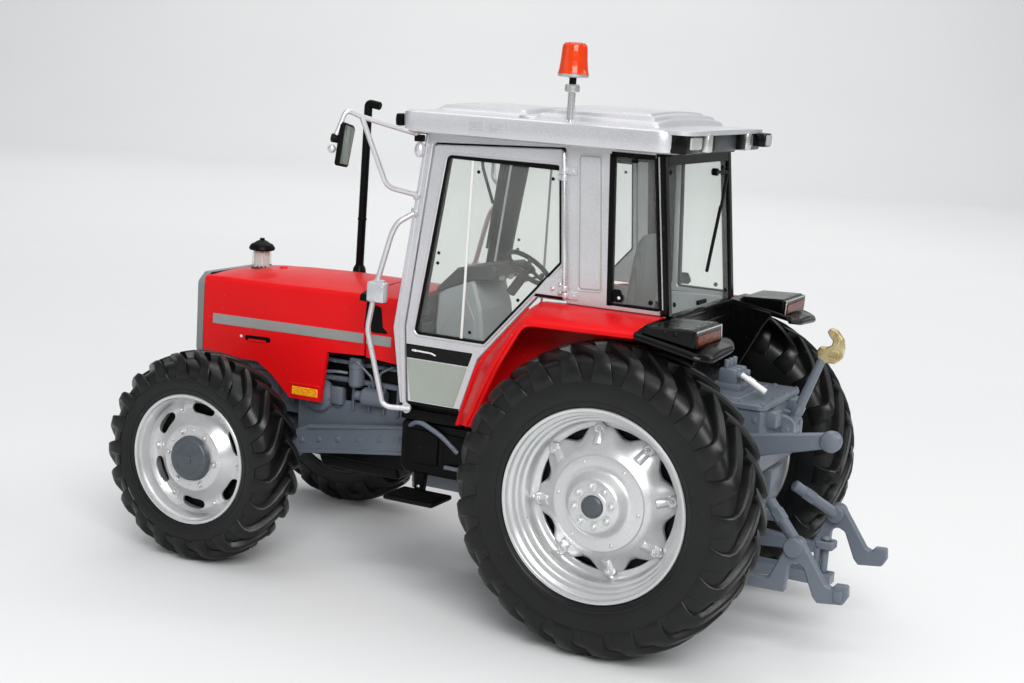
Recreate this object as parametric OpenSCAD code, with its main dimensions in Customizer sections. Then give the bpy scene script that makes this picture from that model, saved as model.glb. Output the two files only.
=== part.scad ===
// Scale model farm tractor: closed cab, steered front axle, rear three point linkage.
// Millimetres. +X forward, +Y left, +Z up, wheels stand on z = 0.

/* [Wheels] */
// Distance from rear axle to front axle
wheelbase = 81; // [76:0.5:86]
// Rear tyre outer radius, also rear axle height
rear_r = 25.8; // [25:0.1:26.2]
// Rear tyre overall width
rear_w = 13.6; // [12:0.1:14]
// Rear tyre centre from the middle
rear_track = 26.8; // [26.5:0.1:28]
// Rear rim flange radius
rear_rim = 15.9; // [15:0.1:17]
// Front tyre outer radius, also front axle height
front_r = 19.4; // [18.8:0.1:19.6]
// Front tyre overall width
front_w = 10.8; // [9.5:0.1:11.2]
// Front tyre centre from the middle
front_track = 25.8; // [25.6:0.1:27]
// Front rim flange radius
front_rim = 12; // [11:0.1:12.6]
// Kingpin distance from the middle
kingpin_y = 18.5; // [18:0.1:18.8]

/* [Body] */
// Bonnet half width
bonnet_hw = 12; // [11:0.1:12.4]
// Bonnet top height
bonnet_top = 52.4; // [51.5:0.1:54]
// Front end of the grille
grille_x = 94.5; // [93:0.1:95.5]
// Cab side outer face from the middle
cab_hw = 16.2; // [16:0.1:16.8]
// Cab wall and door thickness
wall = 1.2; // [1:0.1:1.4]
// Height of the top of the cab side
cab_top = 81.3; // [80:0.1:83]
// Roof half width
roof_hw = 19.5; // [18.5:0.1:21]
// Fender outer edge from the middle
fender_y = 27; // [25:0.1:29]

/* [Linkage] */
// Lower link plate centre from the middle
link_y = 12.4; // [12:0.1:13]
// Lower link plate thickness
link_t = 1.6; // [1.2:0.1:2]
// Drawbar pin hole radius
drawbar_bore = 0.7; // [0.5:0.05:0.9]
// Front coupling pin hole radius
front_bore = 0.8; // [0.6:0.05:1]

/* [Hidden] */
$fn = 64;
x_front = 96.5;
x_rear = -37.4;
xc = (wheelbase + front_r + x_rear) / 2;
cab_in = cab_hw - wall;
fit = 0.05;
hub_pin = 1.5;
stub_pin = 1.2;
king = 1.0;
arm_x = wheelbase + 7;
lift_x = -14;
lift_z = 34.1;
pivot_x = -11;
pivot_z = 13;
top_x = -21.4;
top_z = 36.4;
hinge_y = cab_hw + 0.55;
hinge_x0 = 14.3;
hinge_z0 = 55.3;
hinge_tilt = atan2(2.0, 24.5);
eps = 0.02;

// ---------- helpers ----------
module place() { translate([-xc, 0, 0]) children(); }
// side outline in x,z drawn between two y values
module side(y0, y1) { translate([0, y1, 0]) rotate([90, 0, 0]) linear_extrude(y1 - y0) children(); }
// outline in y,z drawn between two x values
module cross(x0, x1) { translate([x0, 0, 0]) rotate([90, 0, 90]) linear_extrude(x1 - x0) children(); }
module plan(z0, z1) { translate([0, 0, z0]) linear_extrude(z1 - z0) children(); }
module box(a, b) { translate(a) cube(b - a); }
module rod_y(x, z, r, y0, y1) { translate([x, y1, z]) rotate([90, 0, 0]) cylinder(r = r, h = y1 - y0); }
module rod_x(y, z, r, x0, x1) { translate([x0, y, z]) rotate([0, 90, 0]) cylinder(r = r, h = x1 - x0); }
// round bar between two points
module bar(a, b, r) {
  d = b - a; l = norm(d);
  translate(a) rotate([0, acos(d[2] / l), atan2(d[1], d[0])]) cylinder(r = r, h = l, $fn = 32);
}
module ball(p, r) { translate(p) sphere(r = r, $fn = 32); }
module both() { children(); mirror([0, 1, 0]) children(); }
module right() { mirror([0, 1, 0]) children(); }
// panel between four points
module panel(a, b, c, d, t) { hull() for (p = [a, b, c, d]) translate(p - [t, t, t] / 2) cube(t); }
// wheel place: local z runs outward
module hub(x, y, z, s) { translate([x, s * y, z]) rotate([-90 * s, 0, 0]) children(); }

// ---------- wheels ----------
module tyre(R, w, rim, bw) {
  rotate_extrude() polygon([[rim - 1.5, -bw], [rim + 0.05, -bw], [rim + 0.5, -bw - 0.45], [rim + 1.6, -w / 2],
    [R - 5, -w / 2], [R - 1.6, -w / 2 + 0.6], [R - 0.4, -w / 2 + 1.5], [R, -w / 2 + 3],
    [R, w / 2 - 3], [R - 0.4, w / 2 - 1.5], [R - 1.6, w / 2 - 0.6], [R - 5, w / 2],
    [rim + 1.6, w / 2], [rim + 0.5, bw + 0.45], [rim + 0.05, bw], [rim - 1.5, bw]]);
}
module rear_rim_shape(bw, bore) {
  r = rear_rim;
  difference() {
    rotate_extrude() polygon([[0, -0.3], [3.4, -0.3], [3.4, 4.5], [4.2, 4.5], [5.6, 2.5], [8, 2.2], [11, 0.6], [r - 2.5, 0.2],
      [r - 2.5, -bw - 0.4], [r, -bw - 0.4], [r, -bw], [r - 1.5, -bw], [r - 1.5, bw], [r, bw], [r, bw + 0.4],
      [r - 1.6, bw + 0.4], [r - 1.7, bw - 0.8], [r - 1.9, bw - 1.4], [r - 1.9, bw - 2.2], [r - 2.5, bw - 3], [r - 2.5, 1.2], [12.6, 1.2],
      [11, 1.6], [8, 3.1], [7.9, 3.4], [5.6, 3.5], [4.2, 5.5], [1.85, 5.5], [1.6, 5.9], [0, 6]]);
    translate([0, 0, -0.3 - eps]) cylinder(r = bore, h = 4.3 + eps);
  }
}
module front_rim_shape(bw, bore) {
  r = front_rim;
  difference() {
    rotate_extrude() polygon([[0, -0.6], [4.8, -0.6], [4.8, 0.2], [9.4, -0.4], [r - 1.9, -0.6], [r - 1.9, -bw - 0.35], [r, -bw - 0.35],
      [r, -bw], [r - 1.5, -bw], [r - 1.5, bw], [r, bw], [r, bw + 0.35], [r - 1.6, bw + 0.35], [r - 1.7, bw - 0.4], [r - 1.9, bw - 2],
      [r - 1.9, 0.6], [9.4, 0.4], [8, 0.6], [7.2, 0.9], [6.4, 1.2], [4.4, 1.2], [4.4, 3.4], [4, 3.8], [0, 3.8]]);
    translate([0, 0, -0.6 - eps]) cylinder(r = bore, h = 3.6 + eps);
  }
}
module tyre_rear_left() color("black") hub(0, rear_track, rear_r, 1) tyre(rear_r, rear_w, rear_rim, 5.6);
module tyre_rear_right() color("black") hub(0, rear_track, rear_r, -1) tyre(rear_r, rear_w, rear_rim, 5.6);
module tyre_front_left() color("black") hub(wheelbase, front_track, front_r, 1) tyre(front_r, front_w, front_rim, 4.4);
module tyre_front_right() color("black") hub(wheelbase, front_track, front_r, -1) tyre(front_r, front_w, front_rim, 4.4);
module rim_rear_left() color("silver") hub(0, rear_track, rear_r, 1) rear_rim_shape(5.6, hub_pin + fit);
module rim_rear_right() color("silver") hub(0, rear_track, rear_r, -1) rear_rim_shape(5.6, hub_pin + fit);
module rim_front_left() color("silver") hub(wheelbase, front_track, front_r, 1) front_rim_shape(4.4, stub_pin + fit);
module rim_front_right() color("silver") hub(wheelbase, front_track, front_r, -1) front_rim_shape(4.4, stub_pin + fit);

// ---------- front axle and steering ----------
module front_axle() color("slategray") union() {
  box([wheelbase - 2.6, -14, 16.6], [wheelbase + 2.6, 14, 22.2]);
  rod_x(0, front_r, 4.9, wheelbase - 5, wheelbase + 4.6);
  box([wheelbase - 1.4, -1.6, 22], [wheelbase + 1.4, 1.6, 25]);
  rod_x(0, front_r, 1.2, 72, wheelbase - 4.9);
  both() {
    box([wheelbase - 2.3, 13.9, 12.6], [wheelbase + 2.3, 15.4, 26.2]);
    union() {
        plan(12.6, 14.2) { translate([wheelbase - 2.3, 15.3]) square([4.6, kingpin_y - 15.3]); translate([wheelbase, kingpin_y]) circle(r = 2.3); }
        plan(24.6, 26.2) { translate([wheelbase - 2.3, 15.3]) square([4.6, kingpin_y - 15.3]); translate([wheelbase, kingpin_y]) circle(r = 2.3); }
    }
    translate([wheelbase, kingpin_y, 13]) cylinder(r = king, h = 12);
  }
}
module knuckle(s) {
  difference() {
    union() {
      translate([wheelbase, s * kingpin_y, 14.4]) cylinder(r = 2.4, h = 10);
      hub(wheelbase, 0, front_r, s) translate([0, 0, kingpin_y + 1.5]) cylinder(r = 2.2, h = front_track - kingpin_y - 2.2);
      hub(wheelbase, 0, front_r, s) translate([0, 0, front_track - 1]) cylinder(r = stub_pin, h = 3.9);
      plan(16.6, 18.2) {
        translate([wheelbase, s * kingpin_y - 1.1]) square([7, 2.2]);
        translate([arm_x, s * kingpin_y]) circle(r = 1.1);
      }
      translate([arm_x, s * kingpin_y, 18]) cylinder(r = 0.6, h = 2);
    }
    translate([wheelbase, s * kingpin_y, 10]) cylinder(r = king + fit, h = 20);
  }
}
module knuckle_left() color("slategray") knuckle(1);
module knuckle_right() color("slategray") knuckle(-1);
module tie_rod() color("slategray") difference() {
  union() {
    both() plan(18.3, 19.9) translate([arm_x, kingpin_y]) circle(r = 1.3);
    bar([arm_x, -kingpin_y + 0.9, 19.1], [arm_x, kingpin_y - 0.9, 19.1], 0.8);
  }
  both() translate([arm_x, kingpin_y, 17]) cylinder(r = 0.6 + fit, h = 5);
}

// ---------- chassis ----------
module engine() color("slategray") union() {
  box([46.8, -9, 17.5], [72, 9, 38]);
  box([56.5, -10.4, 38], [86, 10.4, 48.6]);
  both() box([47, 9, 23], [64, 10.6, 27]);
  both() box([50, 9, 29], [61, 10, 36]);
}
module transmission() color("slategray") difference() {
  union() {
    box([20, -8.6, 16], [46.8, 8.6, 30.8]);
    box([-14, -9, 14.5], [20, 9, 30.8]);
    box([-19.5, -10, 29.5], [-5, 10, 41]);
    box([-16.6, -9, 16], [-14, 9, 29.5]);
    box([-14.5, -3, 41], [-8, 3, 45]);
    both() rod_y(lift_x, lift_z, 2.6, 9.9, 10.9);
    rod_y(lift_x, lift_z, 1.2, 10.8, 12.9);
    both() rod_y(pivot_x, pivot_z, 1.0, 8.9, link_y + 0.9);
    both() box([pivot_x - 2, 8.4, pivot_z - 2], [pivot_x + 2, 11, pivot_z + 4]);
    both() box([top_x - 1.5, 1.3, top_z - 2.2], [-19.4, 2.5, top_z + 2.2]);
    rod_y(top_x, top_z, 0.7, -2.4, 2.4);
    box([-19.8, -3, 24], [-16.5, 3, 29.6]);
  }
}
module front_support() color("slategray") difference() {
  union() {
    box([72, -7, 25], [92, 7, 36]);
    box([88, -5, 25], [x_front - 3, 5, 31]);
    plan(25, 31) { translate([x_front - 3, 0]) circle(r = 3); }
  }
  translate([x_front - 3, 0, 20]) cylinder(r = front_bore, h = 20);
}
module rear_axle() color("slategray") union() {
  both() {
    rod_y(0, rear_r, 4.4, 9, 21);
    rod_y(0, rear_r, 2.8, 20.9, rear_track - 0.5);
    rod_y(0, rear_r, hub_pin, rear_track - 0.6, rear_track + 3.8);
  }
}
module drawbar() color("slategray") difference() {
  union() {
    box([-29.5, -1.8, 10.6], [-8, 1.8, 12.6]);
    box([-31.2, -1.5, 10.6], [-28, 1.5, 18.2]);
    box([-13, -4, 12.6], [-8, 4, 14.5]);
  }
  translate([-29.6, 0, 5]) cylinder(r = drawbar_bore, h = 20);
}

// ---------- bonnet ----------
module bonnet_side() polygon([[56, 39.6], [64, 39.2], [65, 29.5], [72, 29.4], [76, 33.2], [79.5, 35.3], [92, 35.3],
  [92.4, 49.8], [90.6, bonnet_top - 1.8], [86, bonnet_top - 1], [79, bonnet_top - 0.4], [68, bonnet_top], [56, bonnet_top]]);
crown_r = 43.2;
module crown(x0, x1) rod_x(0, bonnet_top - crown_r, crown_r, x0, x1);
module bonnet() color("red") difference() {
  intersection() {
    side(-bonnet_hw, bonnet_hw) bonnet_side();
    crown(50, 100);
  }
  box([50, -10.8, 20], [86.5, 10.8, 49]);
  box([71, -8, 20], [93, 8, 36.4]);
}
module grille() color("gray") union() {
  intersection() {
    side(-20, 20) polygon([[92.2, 35.3], [grille_x, 35.6], [grille_x, 49.4], [92.6, 50.6]]);
    cross(80, 110) { translate([-11.6, 30]) square([23.2, 18]); translate([-9.4, 30]) square([18.8, 30]); translate([9.4, 48]) circle(r = 2.2); translate([-9.4, 48]) circle(r = 2.2); }
  }
}
module cowl() color("red") difference() {
  intersection() {
    side(-bonnet_hw, bonnet_hw) polygon([[46.9, 38.8], [55.7, 39.4], [55.7, bonnet_top + 1], [46.9, bonnet_top + 1]]);
    crown(40, 60);
  }
  box([40, -10.6, 20], [60, 10.6, 47]);
}

// ---------- cab ----------
module cab_outline() polygon([[42.7, cab_top], [46.6, 47], [45.2, 33], [33.6, 33], [30.2, 42.9], [19.7, 54.9], [-2.6, 54.9], [0.3, cab_top]]);
module door_outline(g) polygon([[41.2 + g, 79.8 + g], [hinge_x0 + 2.3 - g, 79.8 + g], [hinge_x0 + 0.3 - g, 55.3 - 3 * g], [19.9 - g, 55.3 - 3 * g], [30.4 - g, 43.0 - 3 * g],
  [33.4 - g, 33.2 - 3 * g], [43.9 + g, 33.2 - 3 * g], [45.1 + g, 47]]);
module door_window() polygon([[38.4, 77.4], [17.9, 77.4], [16.5, 61], [29.4, 46], [43.2, 46]]);
module hinge_place(z0) { translate([hinge_x0, hinge_y, hinge_z0]) rotate([0, hinge_tilt, 0]) translate([0, 0, z0]) children(); }
module cab_side() difference() {
  union() {
    side(cab_in, cab_hw) difference() {
      cab_outline();
      door_outline(0.3);
      polygon([[20, 50], [14, 55.2], [14, 54.2], [20, 54.2]]);
      polygon([[7.6, 78.8], [6.5, 55.8], [-4, 55.8], [-1, 78.8]]);
    }
    for (z = [0.6, 21.4]) hinge_place(z) {
      cylinder(r = 0.5, h = 0.9, $fn = 32);
      translate([-2, -0.6, 0]) cube([2, 0.4, 0.9]);
    }
  }
}
module cab_side_left() color("silver") cab_side();
module cab_side_right() color("silver") right() cab_side();
module door() union() {
  side(cab_in, cab_hw) difference() { door_outline(0); door_window(); }
  for (z = [1.7, 20.2]) hinge_place(z) {
    cylinder(r = 0.5, h = 1, $fn = 32);
    translate([0, -0.6, 0]) cube([3.4, 0.4, 1]);
  }
}
module door_left() color("silver") door();
module door_right() color("silver") right() door();
module door_glass() side(cab_in + 0.35, cab_in + 0.85) door_window();
module door_glass_left() color("lightblue", 0.4) door_glass();
module door_glass_right() color("lightblue", 0.4) right() door_glass();
module quarter_glass() color("lightblue", 0.4) both() side(cab_in + 0.35, cab_in + 0.85) polygon([[7.6, 78.8], [6.5, 55.8], [-2.5, 55.8], [0.02, 78.8]]);
module cab_front() color("dimgray") side(-cab_in, cab_in) polygon([[45.2, 33], [46.55, 46.6], [45.3, 46.6], [44, 33]]);
module windscreen() color("lightblue", 0.4) side(-cab_in, cab_in) polygon([[46.5, 46.6], [42.65, cab_top], [42, cab_top], [45.9, 46.6]]);
module cab_rear() color("black") union() {
  box([-4.2, -cab_in, 31], [-3, cab_in, 54.9]);
  both() side(cab_in - 0.6, cab_hw) polygon([[-4.2, 54.9], [-2.6, 54.9], [0.3, cab_top], [-1.3, cab_top]]);
  side(-cab_in, cab_in) polygon([[-1.55, 79.4], [-1.3, cab_top], [0.3, cab_top], [0.05, 79.4]]);
}
module rear_window() color("lightblue", 0.4) side(-cab_in + 0.6, cab_in - 0.6) polygon([[-3.8, 54.9], [-3.2, 54.9], [-0.47, 79.4], [-1.07, 79.4]]);
module cab_floor() color("black") union() {
  box([-3, -cab_in, 31], [44, cab_in, 33]);
  both() box([33.8, cab_in, 30.4], [45.2, cab_hw, 32.4]);
}
module roof_side() polygon([[-7.5, 82.2], [-7.5, 84.6], [-5.5, 86.2], [44, 84.9], [47.5, 82.6], [47.3, 80.6], [44, 80.6], [42.8, cab_top], [-2, cab_top], [-3, 82.2]]);
module roof_plan() { r = 4;
  translate([-7.5, -roof_hw + r]) square([55, 2 * (roof_hw - r)]);
  translate([-7.5 + r, -roof_hw]) square([55 - 2 * r, 2 * roof_hw]);
  for (x = [-7.5 + r, 47.5 - r], y = [-roof_hw + r, roof_hw - r]) translate([x, y]) circle(r = r); }
module roof_front() { polygon([[-roof_hw + 1.2, 80], [-roof_hw, 81.6], [-roof_hw, 83.4], [-roof_hw + 2.2, 87], [roof_hw - 2.2, 87], [roof_hw, 83.4], [roof_hw, 81.6], [roof_hw - 1.2, 80]]); }
module roof() color("silver") intersection() {
  side(-30, 30) roof_side();
  plan(78, 90) roof_plan();
  cross(-10, 50) roof_front();
}
module beacon() color("orangered") translate([16, 16, 0]) union() {
  translate([0, 0, 85.62]) cylinder(r = 0.75, h = 6.5);
  translate([0, 0, 92]) cylinder(r = 2.6, h = 0.7);
  translate([0, 0, 92.7]) cylinder(r1 = 2.5, r2 = 2.0, h = 5.5);
}

// ---------- fenders ----------
module fender() union() {
  side(cab_in, cab_hw) polygon([[-12, 54.9], [-4.2, 54.9], [19.5, 54.9], [29.9, 42.6], [33.4, 30.4], [30, 30.4], [22, 38], [-12, 42]]);
  // flat top with its slanted front edge
  intersection() {
    cross(-3.45, 20) polygon([[cab_hw - 0.15, 54.85], [fender_y + 0.45, 52.95], [fender_y + 0.45, 52.05], [cab_hw - 0.15, 53.95]]);
    plan(50, 57) polygon([[-4, cab_hw - 0.2], [19.7, cab_hw - 0.2], [19.7, cab_hw + 0.75], [17.4, fender_y + 0.5], [-4, fender_y + 0.5]]);
  }
  // twisted front face in two strips, then the lower front
  panel([19.3, cab_hw + 0.3, 54.4], [29.6, cab_hw + 0.3, 42.4], [25.45, 21.75, 43.7], [18.15, 21.75, 53.4], 0.9);
  panel([18.15, 21.75, 53.4], [25.45, 21.75, 43.7], [21.3, fender_y, 45], [17, fender_y, 52.4], 0.9);
  panel([29.6, cab_hw + 0.3, 42.4], [33.2, cab_hw + 0.3, 31], [27, fender_y - 1, 33.6], [21.3, fender_y, 45], 0.9);
}
module fenders() color("red") both() fender();
module fender_rear() union() {
  panel([-3.9, cab_hw + 0.6, 54.2], [-16.4, cab_hw + 0.6, 52.2], [-16.4, 30, 52.2], [-3.9, 29.5, 53], 0.8);
  box([-13.5, cab_hw, 54], [-5, 29, 56]);
  box([-14, cab_in, 42.1], [-12.1, cab_hw, 54.8]);
}
module fender_rears() color("black") both() fender_rear();

// ---------- cab inside ----------
module seat() color("gray") union() {
  box([8.3, -3.5, 33], [15.3, 3.5, 42]);
  side(-5.2, 5.2) polygon([[6.9, 42], [17.8, 42], [18.3, 44.4], [10.3, 45.4], [7.7, 66], [4.9, 66.4], [5.7, 50]]);
}
module dash() color("gray") side(-6.5, 6.5) polygon([[34, 33], [43.8, 33], [44.9, 46], [44.6, 52], [39, 57.4], [33.5, 58.4], [32.4, 55], [35, 44]]);
module steering_wheel() color("black") translate([29.4, 0, 57.8]) rotate([0, -35, 0]) union() {
  rotate_extrude() translate([4.4, 0]) circle(r = 0.45, $fn = 24);
  translate([0, 0, -0.4]) cylinder(r = 1, h = 0.8);
  for (a = [60, 180, 300]) rotate(a) translate([0, -0.35, -0.3]) cube([4.2, 0.7, 0.6]);
  translate([0, 0, -6]) cylinder(r = 0.7, h = 5.8);
}

// ---------- outside fittings ----------
module exhaust() color("black") union() {
  translate([71.4, -10, 49.2]) cylinder(r = 1.6, h = 3.4);
  translate([71.4, -10, 51.5]) cylinder(r = 0.85, h = 31.9);
  bar([71.4, -10, 82.8], [69, -10, 84.7], 0.85);
}
module precleaner() color("black") translate([86.6, 1.5, 0]) union() {
  translate([0, 0, bonnet_top - 2.5]) cylinder(r = 2, h = 4.7);
  translate([0, 0, bonnet_top + 2]) cylinder(r1 = 2.5, r2 = 1, h = 2.2);
}
module pipe(pts, r) {
  for (i = [0:len(pts) - 2]) bar(pts[i], pts[i + 1], r);
  for (i = [1:len(pts) - 2]) ball(pts[i], r * 1.06);
}
module hand_rails() color("silver") both() union() {
  pipe([[44.0, cab_hw - 0.6, 67.6], [47.6, 18, 63.7], [50.1, 18.4, 54.4], [51.3, 18.4, 46], [47.2, 18, 33.4], [44.6, cab_hw - 0.6, 33.2]], 0.55);
  box([49, 17.4, 50.8], [51.8, 19.4, 54.4]);
}
module mirrors() color("dimgray") both() union() {
  pipe([[44, 17, 81.2], [50.8, 25, 83.5], [52.4, 27, 84.2], [53.2, 28.2, 80]], 0.45);
  pipe([[43.9, cab_hw - 0.6, 70.2], [48, 20.2, 71.7], [50.7, 25, 83.4]], 0.45);
  translate([52.6, 27.2, 78.6]) rotate([10, -3, 0]) cube([1, 3.8, 7.4], center = true);
}
module steps() color("black") both() union() {
  box([29, 9.2, 20.4], [45.5, 15.2, 30.4]);
  box([35, 13.6, 16.4], [45.2, 21.4, 17.4]);
  box([40.6, 13.6, 17.4], [42.2, 15.1, 20.6]);
}

// ---------- rear linkage ----------
module link_outline() {
  polygon([[pivot_x, pivot_z + 1.9], [-20.6, 14], [-23.9, 13.9], [-26.3, 19.4], [-27.2, 21.4], [-29, 21.3], [-33.6, 14.6], [-34.6, 14.2], [-35.2, 15], [-37.2, 15.1],
    [-37.4, 13.2], [-36.6, 11.8], [-32.4, 11.3], [-31.6, 12.2], [-29.6, 16.8], [-28.2, 17.4], [-27.2, 16.6], [-26.9, 12], [-20.6, 11.9], [pivot_x, pivot_z - 1.9]]);
  translate([pivot_x, pivot_z]) circle(r = 1.9);
}
module lower_link() difference() {
  union() {
    side(link_y - link_t / 2 + 0.2, link_y + link_t / 2 + 0.2) link_outline();
    rod_y(-27.8, 19.8, 1.5, link_y - 1.6, link_y + 1.6);
    bar([-27.8, link_y - 1.2, 19.8], [-21.2, 6.6, 25], 1);
  }
  rod_y(pivot_x, pivot_z, 1.0 + fit, 5, 20);
}
module lower_link_left() color("slategray") lower_link();
module lower_link_right() color("slategray") right() lower_link();
module lift_arm() color("slategray") difference() {
  union() {
    side(11.1, 12.7) { polygon([[lift_x, lift_z + 2.2], [-30.7, 39.1], [-31, 36.6], [lift_x, lift_z - 2.2]]); translate([lift_x, lift_z]) circle(r = 2.2); translate([-31.2, 37.8]) circle(r = 1.3); }
    rod_y(-32, 38, 1.7, 10.9, 13.6);
  }
  rod_y(lift_x, lift_z, 1.2 + fit, 5, 20);
}
module top_link() color("slategray") difference() {
  union() {
    rod_y(top_x, top_z, 1.5, -1.1, 1.1);
    bar([top_x, 0, top_z], [-26, 0, 49.2], 0.9);
    side(-0.6, 0.6) polygon([[-25, 49], [-26.6, 48.2], [-29, 49.4], [-29.3, 52.4], [-27.8, 54], [-26.6, 54.2], [-26.5, 53], [-27.6, 52], [-26.6, 50.8], [-25.2, 51]]);
  }
  rod_y(top_x, top_z, 0.7 + fit, -5, 5);
}

place() engine();
place() transmission();
place() front_support();
place() front_axle();
place() bonnet();
place() grille();
place() cowl();
place() rear_axle();
place() cab_floor();
place() cab_side_left();
place() cab_side_right();
place() cab_front();
place() cab_rear();
place() roof();
place() windscreen();
place() quarter_glass();
place() rear_window();
place() beacon();
place() fenders();
place() fender_rears();
place() seat();
place() dash();
place() steering_wheel();
place() exhaust();
place() precleaner();
place() hand_rails();
place() mirrors();
place() steps();
place() drawbar();
place() tyre_rear_left();
place() rim_rear_left();
place() tyre_rear_right();
place() rim_rear_right();
place() knuckle_left();
place() knuckle_right();
place() tie_rod();
place() tyre_front_left();
place() rim_front_left();
place() tyre_front_right();
place() rim_front_right();
place() door_left();
place() door_glass_left();
place() door_right();
place() door_glass_right();
place() lower_link_left();
place() lower_link_right();
place() lift_arm();
place() top_link();
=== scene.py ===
import math
import random
import bpy
import bmesh
from math import sin, cos, tan, pi, radians, hypot, atan2, acos
from mathutils import Matrix, Vector
from mathutils.geometry import tessellate_polygon


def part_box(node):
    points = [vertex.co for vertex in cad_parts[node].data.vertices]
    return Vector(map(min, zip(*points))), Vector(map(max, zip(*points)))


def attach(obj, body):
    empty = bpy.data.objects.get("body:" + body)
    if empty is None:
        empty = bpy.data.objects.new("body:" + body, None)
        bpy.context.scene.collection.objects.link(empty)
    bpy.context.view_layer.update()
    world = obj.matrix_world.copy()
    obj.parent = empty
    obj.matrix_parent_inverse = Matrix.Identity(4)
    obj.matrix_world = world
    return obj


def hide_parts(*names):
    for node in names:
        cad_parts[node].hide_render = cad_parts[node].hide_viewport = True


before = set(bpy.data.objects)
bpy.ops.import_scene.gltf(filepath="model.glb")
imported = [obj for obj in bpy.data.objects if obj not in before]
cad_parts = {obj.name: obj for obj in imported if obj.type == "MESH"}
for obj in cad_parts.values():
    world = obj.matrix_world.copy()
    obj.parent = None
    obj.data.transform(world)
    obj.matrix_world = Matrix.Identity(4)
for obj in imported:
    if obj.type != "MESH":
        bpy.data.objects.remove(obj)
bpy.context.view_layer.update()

scene = bpy.context.scene
scene.view_settings.view_transform = "Standard"

# Drawing frame: millimetres, x forward from the rear axle, y left, z up. Row x = x - XC.
XC = 31.5


# ---------------------------------------------------------------- materials
class Nodes:
    def __init__(self, name):
        self.mat = bpy.data.materials.new(name)
        self.mat.use_nodes = True
        self.nt = self.mat.node_tree
        self.nt.nodes.clear()
        self.out = self.new("ShaderNodeOutputMaterial")
        self.bsdf = self.new("ShaderNodeBsdfPrincipled")
        self.link(self.bsdf.outputs[0], self.out.inputs["Surface"])
        self.co = self.new("ShaderNodeTexCoord").outputs["Object"]

    def new(self, kind):
        return self.nt.nodes.new(kind)

    def link(self, a, b):
        self.nt.links.new(a, b)

    def set(self, **values):
        for k, v in values.items():
            self.bsdf.inputs[k.replace("_", " ")].default_value = v

    def stretch(self, x, y, z):
        n = self.new("ShaderNodeMapping")
        n.inputs["Scale"].default_value = (x, y, z)
        self.link(self.co, n.inputs["Vector"])
        return n.outputs[0]

    def noise(self, scale, detail=4.0, rough=0.55, co=None, distortion=0.0):
        n = self.new("ShaderNodeTexNoise")
        n.inputs["Scale"].default_value = scale
        n.inputs["Detail"].default_value = detail
        n.inputs["Roughness"].default_value = rough
        n.inputs["Distortion"].default_value = distortion
        self.link(co or self.co, n.inputs["Vector"])
        return n.outputs["Fac"]

    def voronoi(self, scale, feature="F1", out="Distance", co=None):
        n = self.new("ShaderNodeTexVoronoi")
        n.feature = feature
        n.inputs["Scale"].default_value = scale
        self.link(co or self.co, n.inputs["Vector"])
        return n.outputs[out]

    def wave(self, scale, direction="X", co=None, distortion=0.0):
        n = self.new("ShaderNodeTexWave")
        n.bands_direction = direction
        n.inputs["Scale"].default_value = scale
        n.inputs["Distortion"].default_value = distortion
        self.link(co or self.co, n.inputs["Vector"])
        return n.outputs["Fac"]

    def ramp(self, src, *stops):
        n = self.new("ShaderNodeValToRGB")
        els = n.color_ramp.elements
        while len(els) < len(stops):
            els.new(0.5)
        for e, (pos, col) in zip(els, stops):
            e.position = pos
            e.color = (col, col, col, 1) if isinstance(col, (int, float)) else (*col, 1)
        self.link(src, n.inputs["Fac"])
        return n.outputs["Color"]

    def mix(self, fac, a, b, mode="MIX"):
        n = self.new("ShaderNodeMix")
        n.data_type = "RGBA"
        n.blend_type = mode
        for sock, v in ((n.inputs[0], fac), (n.inputs[6], a), (n.inputs[7], b)):
            if isinstance(v, bpy.types.NodeSocket):
                self.link(v, sock)
            elif isinstance(v, (int, float)):
                sock.default_value = v
            else:
                sock.default_value = (*v, 1)
        return n.outputs[2]

    def span(self, src, lo, hi, a=0.3, b=0.7):
        n = self.new("ShaderNodeMapRange")
        n.inputs["From Min"].default_value = a
        n.inputs["From Max"].default_value = b
        n.inputs["To Min"].default_value = lo
        n.inputs["To Max"].default_value = hi
        self.link(src, n.inputs["Value"])
        return n.outputs[0]

    def bump(self, src, strength, mm, normal=None):
        n = self.new("ShaderNodeBump")
        n.inputs["Strength"].default_value = strength
        n.inputs["Distance"].default_value = mm * 0.001
        self.link(src, n.inputs["Height"])
        if normal is not None:
            self.link(normal, n.inputs["Normal"])
        return n.outputs[0]

    def base(self, socket):
        self.link(socket, self.bsdf.inputs["Base Color"])

    def rough(self, socket):
        self.link(socket, self.bsdf.inputs["Roughness"])

    def normal(self, socket):
        self.link(socket, self.bsdf.inputs["Normal"])


def tint(c, k):
    return tuple(min(1.0, v * k) for v in c)


def lin(r, g, b):
    def f(v):
        v /= 255.0
        return v / 12.92 if v <= 0.04045 else ((v + 0.055) / 1.055) ** 2.4
    return (f(r), f(g), f(b))


M = {}


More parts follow.
